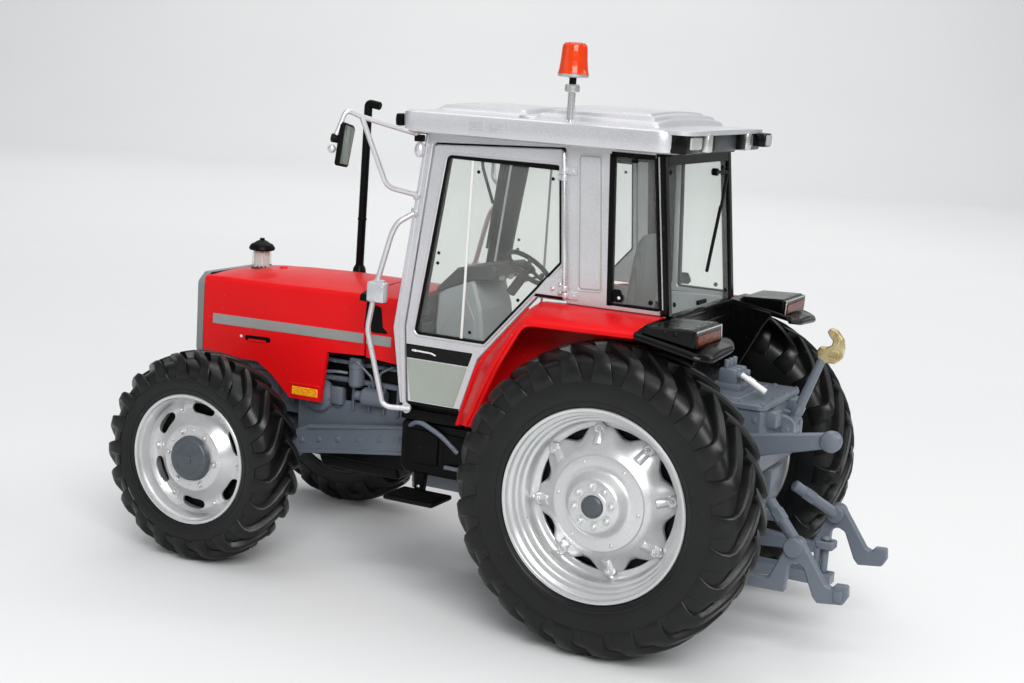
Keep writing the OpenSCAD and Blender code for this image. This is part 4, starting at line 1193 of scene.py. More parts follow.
def grille():
    p = Piece("grille_panel", "chassis", ("grille",), "grille_grey", angle=30).use("grille_grey")
    frame_loop = rounded([(-11.6, 35.3), (11.6, 35.3), (11.6, 49.0), (9.6, 50.6), (-9.6, 50.6), (-11.6, 49.0)], [0.5, 0.5, 1.6, 1.2, 1.2, 1.6], 6)
    gap = rounded([(-10.2, 36.6), (10.2, 36.6), (10.2, 48.4), (8.9, 49.3), (-8.9, 49.3), (-10.2, 48.4)], 0.6, 5)
    p.add(plate(frame_loop, 92.3, 94.3, [gap], 0.35), YZ)
    p.use("black_plastic").add(plate(frame_loop, 91.8, 92.7, bevel=0.2), YZ)
    for k in range(13):
        z = 37.2 + 0.62 * k
        p.box((92.9, -10.3, z), (93.6, 10.3, z + 0.26), 0.1)
    for y in (-6.8, -3.4, 0, 3.4, 6.8):
        p.box((92.8, y - 0.2, 36.5), (93.75, y + 0.2, 45.4), 0.1)
    p.use("grille_grey").box((92.6, -10.3, 45.2), (94.0, 10.3, 45.9), 0.15)
    m = p.mark()
    p.use("black_plastic").box((92.4, 1.4, 45.9), (93.9, 9.7, 49.0), 0.25)
    p.use("bright_metal").box((93.2, 1.9, 46.3), (93.95, 9.2, 48.6), 0.3)
    p.use("lamp_lens").add(plate(rounded([(2.1, 46.45), (9.0, 46.45), (9.0, 48.45), (2.1, 48.45)], 0.4), 93.8, 94.15, bevel=0.12), YZ)
    p.mirror(m)
    return p.done()


def cowl():
    p = Piece("cowl_skin", "chassis", ("cowl",), "red_paint", angle=30).use("red_enamel")
    low = [(46.9, 38.8), (55.7, 39.4)]
    hood_shell(p, [(x, along(low, x), 12.0, 0.95) for x in (47.0, 47.2, 49, 51, 53, 55.1, 55.5)])
    m = p.mark()
    # dark slanted gap with vent behind the bonnet edge, drawn as a black plate: painted shade in the gap
    p.use("black_plastic")
    gap = [(55.8, 49.8), (56.2, 44.75), (54.0, 44.1), (50.7, 44.2), (52.15, 45.3), (52.7, 48.9)]
    p.add(plate(rounded(gap, 0.25), 11.8, 12.06, bevel=0.06), XZ)
    p.use("stripe_silver")
    p.add(plate(rounded([(50.3, 41.92), (55.6, 41.84), (55.6, 43.7), (50.3, 43.78)], 0.12), 11.9, 12.07, bevel=0.05), XZ)
    p.mirror(m)
    # black block behind the bonnet's rear edge: painted shade seen through the gap
    p.use("black_plastic").box((55.2, -9.6, 46), (56.2, 9.6, 50.6), 0.2)
    return p.done()


bonnet()
grille()
cowl()


# ---------------------------------------------------------------- cab
CAB = [(42.7, 81.9), (46.6, 47), (45.2, 33), (44.25, 33), (45.4, 47), (41.5, 79.75), (16.35, 80.9), (14.3, 54.9), (-2.6, 54.9), (-2.5, 55.8),
       (6.5, 55.8), (7.68, 80.4), (0.2, 80.4), (0.3, 81.9)]
HINGE_TILT = atan2(2.0, 24.5)


def hinge_point(z0, off=0.0):
    return (14.3 + z0 * sin(HINGE_TILT) + off * cos(HINGE_TILT), 16.75, 55.3 + z0 * cos(HINGE_TILT) - off * sin(HINGE_TILT))


def cab_side(side, s):
    p = Piece("cab_frame_" + side, "chassis", ("cab_side_" + side,), "silver_paint").use("silver_enamel")
    p.add(plate(rounded(CAB, [0.3, 0.5, 0.3, 0.1, 0.3, 0.5, 0.4, 0.2, 0.2, 0.05, 0.5, 0.6, 0.1, 0.2]), 15.0, 16.2, bevel=0.16), XZ)
    # raised front edge of the windscreen post
    post = [(42.4, 81.0), (46.3, 47), (44.95, 33.2), (45.4, 33.2), (47.5, 46.6), (42.95, 81.0)]
    p.add(plate(post, 15.5, 16.4, bevel=0.14), XZ)
    # pressed panel of the rear door post; its groove is lined with darker grey, painted shade in the recess
    ring = [(14.0, 80.2), (9.5, 80.3), (7.75, 57.5), (12.45, 57.3)]
    p.add(plate(rounded(ring, 0.8), 16.1, 16.34, [inset(ccw(rounded(ring, 0.8)), 0.24)], 0.06), XZ)
    p.add(plate(inset(ccw(rounded(ring, 0.8)), 0.52), 16.1, 16.3, bevel=0.06), XZ)
    p.use("panel_grey").add(plate(inset(ccw(rounded(ring, 0.8)), 0.2), 16.1, 16.215, [inset(ccw(rounded(ring, 0.8)), 0.56)], 0.02), XZ)
    p.use("silver_enamel")
    # fixed hinge leaves and knuckles
    for z in (0.6, 21.4):
        a, b = hinge_point(z), hinge_point(z + 0.9)
        p.add(cyl(a, b, 0.5, n=20))
        c, d = hinge_point(z - 0.3, -2.2), hinge_point(z + 1.2, 0.0)
        p.add(plate(rounded([(c[0], c[2]), (hinge_point(z - 0.3, 0)[0], c[2]), (d[0], d[2]), (hinge_point(z + 1.2, -2.2)[0], d[2])], 0.15),
                    16.15, 16.5, bevel=0.08), XZ)
        p.add(dome((hinge_point(z + 0.45, -1.5)[0], 16.48, hinge_point(z + 0.45)[2]), (0, 1, 0), 0.24, 0.16, 12))
    p.use("bright_metal").add(cyl(hinge_point(0.3), hinge_point(24.9), 0.36, n=18))
    # dark seal round the door opening; black inside trim of the posts and the top rail, painted shade on their inner
    # faces
    p.use("black_plastic")
    p.add(plate(rounded([(8.3, 80.6), (6.95, 55.6), (6.05, 55.6), (7.4, 80.6)], 0.05), 15.2, 16.3, bevel=0.06), XZ)
    p.add(plate(rounded([(8.0, 81.0), (0.3, 81.0), (0.25, 80.2), (8.0, 80.2)], 0.05), 15.2, 16.3, bevel=0.06), XZ)
    p.add(plate(rounded([(42.6, 81.0), (46.4, 47), (45.2, 34), (44.2, 34), (45.2, 47), (41.4, 81.0)], 0.1), 14.5, 15.05, bevel=0.12), XZ)
    p.add(plate(rounded([(-2.4, 55.7), (6.7, 55.7), (6.72, 56.1), (-2.36, 56.1)], 0.05), 15.2, 16.3, bevel=0.06), XZ)
    p.add(plate(rounded([(14.0, 79.6), (8.6, 79.6), (7.4, 56.0), (12.2, 56.0)], 0.6), 14.55, 15.05, bevel=0.12), XZ)
    p.add(plate(rounded([(42.2, 80.9), (2, 80.9), (2, 79.6), (42.4, 79.6)], 0.3), 14.5, 15.05, bevel=0.12), XZ)
    if s < 0:
        p.flipped()
    return p.done()


DOOR = [(41.2, 79.4), (16.65, 80.6), (14.6, 55.3), (19.9, 55.3), (30.4, 43.0), (33.4, 33.2), (43.9, 33.2), (45.1, 47)]
WINDOW = [(38.4, 77.75), (17.0, 77.8), (15.75, 61.6), (29.4, 46), (43.2, 46)]


def door(side, s):
    p = Piece("door_frame_" + side, "door_" + side, ("door_" + side,), "silver_paint").use("silver_enamel")
    win = rounded(WINDOW, [0.9, 0.9, 0.5, 0.6, 0.9], 6)
    p.add(plate(rounded(DOOR, [0.8, 0.8, 0.3, 0.5, 0.8, 0.5, 0.6, 0.6], 6), 15.0, 16.2, [win], 0.18), XZ)
    # raised inner moulding that follows the window
    out = inset(ccw(win), -0.55)
    p.add(plate(out, 16.05, 16.36, [inset(ccw(win), -0.1)], 0.12), XZ)
    p.use("gloss_black")
    band = [(44.75, 44.0), (31.4, 44.0), (31.75, 42.9), (32.2, 41.55), (44.5, 41.55)]
    p.add(plate(rounded(band, 0.15), 16.1, 16.3, bevel=0.07), XZ)
    p.use("panel_grey")
    panel = [(44.45, 41.35), (32.3, 41.35), (34.55, 33.95), (43.3, 33.95)]
    p.add(plate(rounded(panel, 0.25), 16.1, 16.28, bevel=0.07), XZ)
    p.use("black_plastic")
    p.add(plate(inset(ccw(win), -0.12), 15.2, 16.25, [inset(ccw(win), 0.32)], 0.06), XZ)
    p.add(plate(rounded([(43.7, 33.15), (33.6, 33.15), (33.45, 33.75), (43.75, 33.75)], 0.1), 16.1, 16.34, bevel=0.07), XZ)
    # lever on the dark band, slim upright bar on the window
    p.use("white_trim")
    p.add(plate(rounded([(43.4, 42.85), (39.6, 42.78), (38.6, 42.5), (38.5, 42.72), (39.4, 43.05), (43.4, 43.18)], 0.1), 16.28, 16.56, bevel=0.08), XZ)
    p.add(dome((42.7, 16.54, 43.0), (0, 1, 0), 0.24, 0.12, 12))
    p.add(plate(rounded([(33.95, 77.75), (33.5, 77.75), (33.73, 46.1), (34.2, 46.1)], 0.08), 15.75, 16.05, bevel=0.08), XZ)
    # heavy seal along the top of the window; black lining of the frame inside, painted shade on its inner faces
    p.use("black_plastic")
    p.add(plate(rounded([(38.5, 77.85), (17.1, 77.9), (17.05, 77.0), (38.6, 77.3)], 0.12), 15.3, 16.12, bevel=0.08), XZ)
    p.add(plate(rounded([(40.9, 79.4), (37.9, 79.4), (42.6, 46.2), (42.4, 44.4), (44.2, 44.4), (44.7, 47)], 0.3), 14.7, 15.06, bevel=0.1), XZ)
    p.add(plate(rounded([(41.0, 79.6), (17.0, 79.6), (17.0, 77.3), (38.6, 77.3)], 0.3), 14.7, 15.06, bevel=0.1), XZ)
    p.add(plate(rounded([(20.4, 55.5), (14.9, 55.5), (14.9, 55.95), (20.1, 55.95)], 0.1), 16.1, 16.32, bevel=0.06), XZ)
    # hinge leaves, gusset plates and rivets
    p.use("silver_enamel")
    low = [(15.2, 59.4), (18.0, 59.0), (20.4, 55.98), (14.95, 55.98)]
    p.add(plate(rounded(low, 0.25), 16.15, 16.46, bevel=0.09), XZ)
    high = [(17.25, 78.2), (16.5, 78.2), (16.3, 75.7), (17.05, 75.7)]
    p.add(plate(rounded(high, 0.2), 16.15, 16.46, bevel=0.09), XZ)
    p.use("bright_metal")
    for x, z in ((16.9, 57.2), (15.6, 58.0), (15.5, 56.6)):
        p.add(dome((x, 16.44, z), (0, 1, 0), 0.42, 0.28, 16))
    p.use("silver_enamel")
    for z in (1.7, 20.2):
        p.add(cyl(hinge_point(z), hinge_point(z + 1.0), 0.5, n=20))
        c, d = hinge_point(z, 0.0), hinge_point(z + 1.0, 0.0)
        p.add(plate([(c[0], c[2]), (c[0] + 1.3, c[2]), (d[0] + 1.3, d[2]), (d[0], d[2])], 16.2, 16.6, bevel=0.1), XZ)
    # dark inside trim of the door, painted shade on its inner face
    p.use("console_dark")
    p.add(plate(rounded([(42.6, 44.2), (31.6, 44.2), (34.6, 34.2), (42.2, 34.2)], 0.5), 14.7, 15.05, bevel=0.12), XZ)
    if s < 0:
        p.flipped()
    ob = p.done()
    g = Piece("door_pane_" + side, "door_" + side, ("door_glass_" + side,), "clear_glazing").use("clear_sheet")
    g.add(plate(inset(ccw(win), 0.02), 15.4, 15.75, bevel=0.05), XZ)
    g.use("black_plastic")
    for x, z in ((39.5, 60.7), (39.6, 58.9), (32.5, 47.5), (23.6, 54.3), (32.6, 75.4), (18.5, 75.5)):
        g.add(dome((x, 15.72, z), (0, 1, 0), 0.3, 0.2, 14))
    if s < 0:
        g.flipped()
    g.done()
    return ob


def cab_glass():
    p = Piece("windscreen_pane", "chassis", ("windscreen",), "clear_glazing").use("clear_sheet")
    p.add(plate([(46.4, 46.7), (42.6, 81.2), (42.2, 81.2), (46.0, 46.7)], -14.9, 14.9, bevel=0.05), XZ)
    p.use("black_plastic")
    for y in (-14.6, 14.6):
        p.add(plate([(46.5, 46.7), (42.7, 81.2), (42.0, 81.2), (45.8, 46.7)], y - 0.5, y + 0.5, bevel=0.1), XZ)
    p.add(plate([(42.95, 79.2), (42.7, 81.2), (42.1, 81.2), (42.3, 79.2)], -14.6, 14.6, bevel=0.1), XZ)
    p.add(plate([(46.5, 46.6), (46.35, 48.0), (45.8, 48.0), (45.95, 46.6)], -14.6, 14.6, bevel=0.1), XZ)
    # wiper that hangs from the top of the windscreen
    p.add(tube([(43.35, -6.0, 77.4), (43.5, -6.6, 74.6), (44.3, -13.2, 67.4)], 0.3, 0.8, 10))
    p.add(tube([(43.45, -14.2, 75.0), (45.2, -13.6, 58.6)], 0.26, 0, 10))
    p.add(cyl((42.6, -6.0, 77.8), (43.8, -6.0, 77.8), 0.65))
    p.done()
    q = Piece("quarter_panes", "chassis", ("quarter_glass",), "clear_glazing").use("clear_sheet")
    q.add(plate(rounded([(7.6, 80.3), (6.5, 55.9), (-2.45, 55.9), (0.15, 80.3)], 0.4), 15.4, 15.75, bevel=0.05), XZ)
    q.use("black_plastic")
    oval = [(3.95 + 0.66 * cos(radians(a)), 79.7 + 0.36 * sin(radians(a))) for a in range(0, 360, 20)]
    q.add(plate(oval, 15.7, 16.0, bevel=0.1), XZ)
    q.add(plate(rounded([(6.1, 58.4), (4.8, 58.4), (4.1, 57.0), (4.6, 56.3), (6.1, 56.3)], 0.3), 15.7, 15.95, bevel=0.08), XZ)
    q.add(dome((-0.65, 15.75, 56.9), (0, 1, 0), 0.4, 0.25, 14))
    q.use("white_trim").add(dome((4.95, 15.92, 57.0), (0, 1, 0), 0.3, 0.2, 14))
    q.mirror()
    q.done()
    r = Piece("rear_pane", "chassis", ("rear_window",), "clear_glazing").use("clear_sheet")
    r.add(plate([(-3.7, 55.0), (-3.3, 55.0), (-0.57, 79.3), (-0.97, 79.3)], -14.35, 14.35, bevel=0.05), XZ)
    r.use("black_plastic")
    # wiper with its pivot, window stays and handle
    r.add(tube([(-1.7, -8.4, 77.6), (-1.9, -13.4, 77.4), (-2.3, -11.0, 73.4), (-2.5, -9.8, 71.4)], 0.3, 0.5, 10))
    r.add(tube([(-2.35, -9.9, 71.6), (-3.45, -2.4, 60.8)], 0.3, 0, 10))
    r.add(cyl((-0.9, -8.1, 77.6), (-2.0, -8.1, 77.6), 0.65))
    for y in (-12.6, 12.6):
        r.add(dome((-3.62, y, 56.6), (-1, 0, 0.11), 0.42, 0.3, 14))
        r.add(dome((-1.1, y, 78.2), (-1, 0, 0.11), 0.42, 0.3, 14))
    r.box((-4.1, -2.0, 55.4), (-3.5, 2.0, 56.2), 0.2)
    r.done()


def cab_ends():
    p = Piece("cab_bulkhead", "chassis", ("cab_front",), "cab_grey").use("console_dark")
    p.add(plate(rounded([(45.2, 33.1), (46.5, 46.6), (45.3, 46.6), (44.1, 33.1)], 0.2), -14.9, 14.9, bevel=0.2), XZ)
    for y in (-12, -6, 0, 6, 12):
        p.box((45.2, y - 0.3, 34), (46.1, y + 0.3, 44), 0.15)
    p.done()
    p = Piece("cab_rear_wall", "chassis", ("cab_rear",), "black_plastic").use("gloss_black")
    p.add(plate(rounded([(-14.9, 31.2), (14.9, 31.2), (14.9, 54.8), (-14.9, 54.8)], 0.5), -4.2, -3.0, bevel=0.2), YZ)
    p.add(plate(rounded([(-12, 43.4), (12, 43.4), (12, 52.4), (-12, 52.4)], 1.2), -4.55, -4.1, bevel=0.15), YZ)
    p.box((-4.6, -14.6, 53.7), (-3.0, 14.6, 55.0), 0.3)
    st = p.mark()
    p.add(plate(rounded([(-4.2, 54.9), (-2.6, 54.9), (0.3, 81.2), (-1.3, 81.2)], 0.2), 14.4, 16.2, bevel=0.3), XZ)
    p.add(plate([(-2.75, 56.0), (-2.3, 56.0), (0.45, 80.4), (0.0, 80.4)], 15.6, 16.4, bevel=0.12), XZ)
    p.use("bright_metal").add(plate([(-3.2, 56.0), (-2.95, 56.0), (-0.2, 80.8), (-0.45, 80.8)], 15.9, 16.35, bevel=0.06), XZ)
    p.use("gloss_black")
    p.mirror(st)
    p.add(plate([(-1.5, 79.4), (-1.3, 81.2), (0.3, 81.2), (0.1, 79.4)], -14.6, 14.6, bevel=0.2), XZ)
    p.done()
    p = Piece("cab_floor_pan", "chassis", ("cab_floor",), "black_plastic").use("black_plastic")
    p.box((-3, -14.9, 31.1), (44, 14.9, 32.9), 0.3)
    st = p.mark()
    p.box((33.8, 14.8, 30.4), (45.1, 16.1, 32.3), 0.25)
    p.bolts([(36, 16.05, 31.4), (43, 16.05, 31.4)], (0, 1, 0), 0.3, 0.2)
    p.mirror(st)
    for x in range(16, 34, 2):
        p.box((x, -9.5, 32.8), (x + 0.9, 9.5, 33.15), 0.1)
    p.done()


def roof():
    p = Piece("roof_skin", "chassis", ("roof",), "silver_paint", angle=30).use("silver_enamel")
    def plan(x0, x1, hw, r, n=8):
        return rounded([(x0, -hw), (x1, -hw), (x1, hw), (x0, hw)], r, n)
    # side band built up from plan outlines; each row: x0, x1, half width, corner radius, z at rear, z at front
    rows = [(-2.6, 45.2, 17.4, 2.2, 81.75, 81.7), (-3.2, 46.1, 18.9, 2.6, 81.4, 81.35), (-3.5, 46.5, 19.35, 2.8, 81.65, 81.6),
            (-3.6, 46.8, 19.5, 2.9, 82.5, 82.4), (-3.6, 46.9, 19.5, 2.9, 84.4, 84.25), (-3.5, 46.7, 19.4, 2.9, 84.95, 84.8),
            (-3.3, 46.4, 19.15, 2.8, 85.15, 85.0), (-3.0, 45.9, 18.7, 2.6, 85.22, 85.08)]
    rings = []
    for x0, x1, hw, r, zr, zf in rows:
        loop = plan(x0, x1, hw, r)
        rings.append([(x, y, zr + (zf - zr) * (x + 7.5) / 55.0) for x, y in loop])
    V, F = loft(rings, caps=False)
    n = len(rings[0])
    F.append(tuple(range(n))[::-1])
    F.append(tuple(range((len(rings) - 1) * n, len(rings) * n)))
    p.add((V, F))

    # crowned top with its raised panels, carried back past the side band
    X0, X1, HW, RC = -6.6, 46.0, 18.75, 2.6
    def step(d):
        t = min(1.0, max(0.0, d / 0.6))
        return t * t * (3 - 2 * t)
    def height(x, y):
        front = 1 - (1 - min(1.0, (45.9 - min(x, 45.9)) / 8)) ** 2
        rear = 0.2 + 0.8 * step((x - 0.3) * 0.5)
        z = 85.22 - (x + 7.5) * 0.15 / 55 + 0.9 * (1 - (y / HW) ** 2) * front * rear
        z += 0.8 * step(min(x - 25, 42.4 - x, 14 - abs(y)) * 0.5)
        z += 0.7 * step(min(x - 0.2, 22.6 - x, 15.6 - abs(y))) + 0.6 * step(min(x - 1.5, 21.2 - x, 14.2 - abs(y)))
        z += 0.4 * step(min(x - 3.0, 19.6 - x, 12.6 - abs(y)))
        return z
    top, bot = [], []
    for i in range(137):
        rt, rb = [], []
        for k in range(97):
            x, y = X0 + (X1 - X0) * i / 136, -HW + 2 * HW * k / 96
            cx, cy = min(max(x, X0 + RC), X1 - RC), min(max(y, RC - HW), HW - RC)
            d = hypot(x - cx, y - cy)
            if d > RC:
                x, y = cx + (x - cx) * RC / d, cy + (y - cy) * RC / d
            rt.append(Vector((x, y, height(x, y))))
            rb.append(Vector((x, y, 84.6 - (x + 7.5) * 0.15 / 55)))
        top.append(rt)
        bot.append(rb)
    p.add(shell(top, bot))
    for y in (-15.5, 15.5):
        p.add(revolve([(2.0, -0.6), (2.0, 0.05), (1.75, 0.3), (1.1, 0.45), (0, 0.5)], (23.5, y, height(23.5, y) - 0.05), (0, 0, 1), 32))
    # louvres in the side band
    st = p.mark()
    for x0 in (30.2, 26.3):
        for k in range(5):
            z = 82.5 + 0.36 * k
            p.add(rbox((x0, 19.3, z), (x0 + 2.7, 19.62, z + 0.2), 0.09))
    p.mirror(st)
    # underside: black headliner carried out to the roof edge and a black strip at the front, painted shadow under the
    # roof overhang; rear lamp bay
    p.use("black_plastic")
    p.box((-2.2, -15.6, 80.95), (42.4, 15.6, 82.0), 0.2)
    p.box((42.6, -16, 81.0), (45.2, 16, 82.0), 0.25)
    p.use("casting_dark").box((-5.4, -9.0, 81.7), (-2.6, 9.0, 84.8), 0.3)
    p.use("gloss_black").box((-8.2, -17.4, 82.3), (-5.0, -13.6, 84.7), 0.35)
    p.use("lamp_lens").add(plate(rounded([(-17.0, 82.6), (-14.0, 82.6), (-14.0, 84.4), (-17.0, 84.4)], 0.3), -8.35, -8.1, bevel=0.08), YZ)
    st = p.mark()
    p.use("gloss_black").box((-5.7, 10.8, 81.6), (-2.6, 18.3, 84.8), 0.3)
    p.use("black_plastic").box((-6.3, 6.4, 81.9), (-2.8, 9.0, 84.8), 0.3)
    p.use("bright_metal").box((-6.7, 8.8, 81.8), (-4.6, 11.0, 85.0), 0.3)
    p.use("lamp_lens").add(plate(rounded([(12.0, 82.3), (16.9, 82.3), (16.9, 84.3), (12.0, 84.3)], 0.3), -5.95, -5.6, bevel=0.08), YZ)
    p.use("black_plastic").box((46.5, 14.4, 82.2), (47.9, 18.6, 84.3), 0.3)
    p.use("bright_metal").box((47.6, 14.8, 82.5), (48.1, 18.2, 84.0), 0.15)
    p.use("lamp_lens").add(plate(rounded([(15.0, 82.7), (18.0, 82.7), (18.0, 83.8), (15.0, 83.8)], 0.3), 48.0, 48.25, bevel=0.08), YZ)
    p.mirror(st)
    return p.done()


def beacon():
    c = (16.0, 16.0)
    p = Piece("beacon_post", "chassis", (), "silver_paint").use("bright_metal")
    p.add(revolve([(0, 0), (1.25, 0), (1.25, 0.25), (0.95, 0.4), (0.62, 0.55), (0.62, 5.2), (0, 5.2)], (c[0], c[1], 85.0), (0, 0, 1), 28))
    p.add(revolve([(0.5, 0), (1.0, 0), (1.25, 0.2), (1.25, 1.1), (1.0, 1.3), (0.5, 1.3)], (c[0], c[1], 90.05), (0, 0, 1), 32))
    p.add(revolve([(0, 0), (1.0, 0.02), (2.35, 0.1), (2.6, 0.25), (2.6, 0.6), (2.4, 0.75), (0, 0.78)], (c[0], c[1], 92.4), (0, 0, 1), 44))
    p.use("black_plastic").add(cyl((c[0], c[1], 91.3), (c[0], c[1], 92.5), 0.6))
    p.done()
    b = Piece("beacon_lamp", "chassis", ("beacon",), "amber_lens").use("amber_shell")
    outer = [(2.62, 93.05), (2.5, 93.3), (2.36, 94.0), (2.2, 95.6), (2.1, 97.2), (1.98, 97.75), (1.6, 98.08), (0.8, 98.18), (0, 98.2)]
    inner = [(0, 97.95), (0.8, 97.92), (1.5, 97.8), (1.8, 97.5), (1.92, 97.0), (2.02, 95.5), (2.18, 94.0), (2.32, 93.3), (2.44, 93.05)]
    b.add(moved(lathe(outer + inner, 48), Matrix.Translation((c[0], c[1], 0))))
    b.use("yellow_lens").add(revolve([(0, 0), (0.75, 0.05), (0.8, 0.4), (0.7, 3.0), (0.4, 3.5), (0, 3.6)], (c[0], c[1], 93.15), (0, 0, 1), 24))
    b.done()


def side_fittings():
    p = Piece("hand_rail_tubes", "chassis", ("hand_rails",), "silver_paint").use("silver_enamel")
    p.add(tube([(44.0, 15.7, 67.6), (46.9, 17.8, 65.4), (47.8, 18.1, 63.3), (50.1, 18.4, 54.4), (51.6, 18.4, 46), (47.9, 18.2, 33.0), (46.8, 17.8, 32.4), (43.0, 16.4, 32.4)], 0.5, 1.4, 16))
    p.use("silver_enamel")
    p.box((48.1, 17.5, 51.0), (51.7, 19.3, 54.6), 0.35)
    p.box((48.6, 17.9, 54.4), (50.6, 18.9, 55.0), 0.2)
    p.add(revolve([(0, 0), (0.95, 0), (0.95, 0.3), (0.6, 0.45), (0, 0.45)], (44.4, 16.1, 67.3), (0.5, 0.8, -0.3), 20))
    p.add(revolve([(0, 0), (0.95, 0), (0.95, 0.3), (0.6, 0.45), (0, 0.45)], (44.0, 16.1, 32.4), (0, 1, 0), 20))
    p.bolts([(48.7, 19.25, 53.9), (51.2, 19.25, 51.6)], (0, 1, 0), 0.2, 0.12, False)
    p.mirror()
    p.done()
    p = Piece("mirror_arms", "chassis", (), "silver_paint").use("silver_enamel")
    p.add(tube([(44, 17, 80.9), (50.8, 25, 83.5), (52.5, 27.2, 84.6), (53.5, 28.6, 80.0)], 0.45, 1.2, 14))
    p.add(tube([(43.9, 15.6, 70.2), (48.1, 20, 71.6), (50.7, 25, 83.4)], 0.45, 1.5, 14))
    p.add(revolve([(0, 0), (0.8, 0), (0.8, 0.3), (0.5, 0.45), (0, 0.45)], (44.2, 16.1, 70.2), (0.4, 0.8, 0.2), 20))
    p.add(revolve([(0, -1.35), (0.6, -1.15), (0.95, -0.5), (0.98, 0.1), (0.8, 0.8), (0.45, 1.25), (0, 1.35)], (43.6, 17.0, 78.3), (0, 0, 1), 24))
    p.use("silver_enamel")
    p.add(revolve([(0, -0.75), (0.4, -0.62), (0.7, -0.25), (0.75, 0), (0.7, 0.25), (0.4, 0.62), (0, 0.75)], (53.9, 29.0, 77.9), (0, 0, 1), 18))
    p.use("black_plastic").box((43.0, 16.3, 79.7), (44.6, 17.6, 80.9), 0.2)
    p.mirror()
    p.done()
    p = Piece("mirror_heads", "chassis", ("mirrors",), "black_plastic").use("black_plastic")
    turn = Matrix.Rotation(radians(-3), 3, "Y") @ Matrix.Rotation(radians(10), 3, "X")
    def mm(u, v, w):
        return tuple(Vector((52.6, 27.2, 78.6)) + turn @ Vector((w, u, v)))
    loop = rounded([(-1.9, -3.6), (1.5, -3.7), (1.95, 3.2), (1.5, 3.7), (-1.5, 3.6), (-1.95, 3.0)], 0.45)
    p.add(plate(loop, -0.5, 0.5, bevel=0.25), mm)
    p.add(cyl((53.2, 28.2, 79.6), (54.0, 29.1, 79.8), 0.75))
    p.use("mirror_face").add(plate(inset(ccw(loop), 0.42), -0.58, -0.4, bevel=0.06), mm)
    p.mirror()
    p.done()


for side, s in (("left", 1), ("right", -1)):
    cab_side(side, s)
    door(side, s)
cab_glass()
cab_ends()
roof()
beacon()
side_fittings()


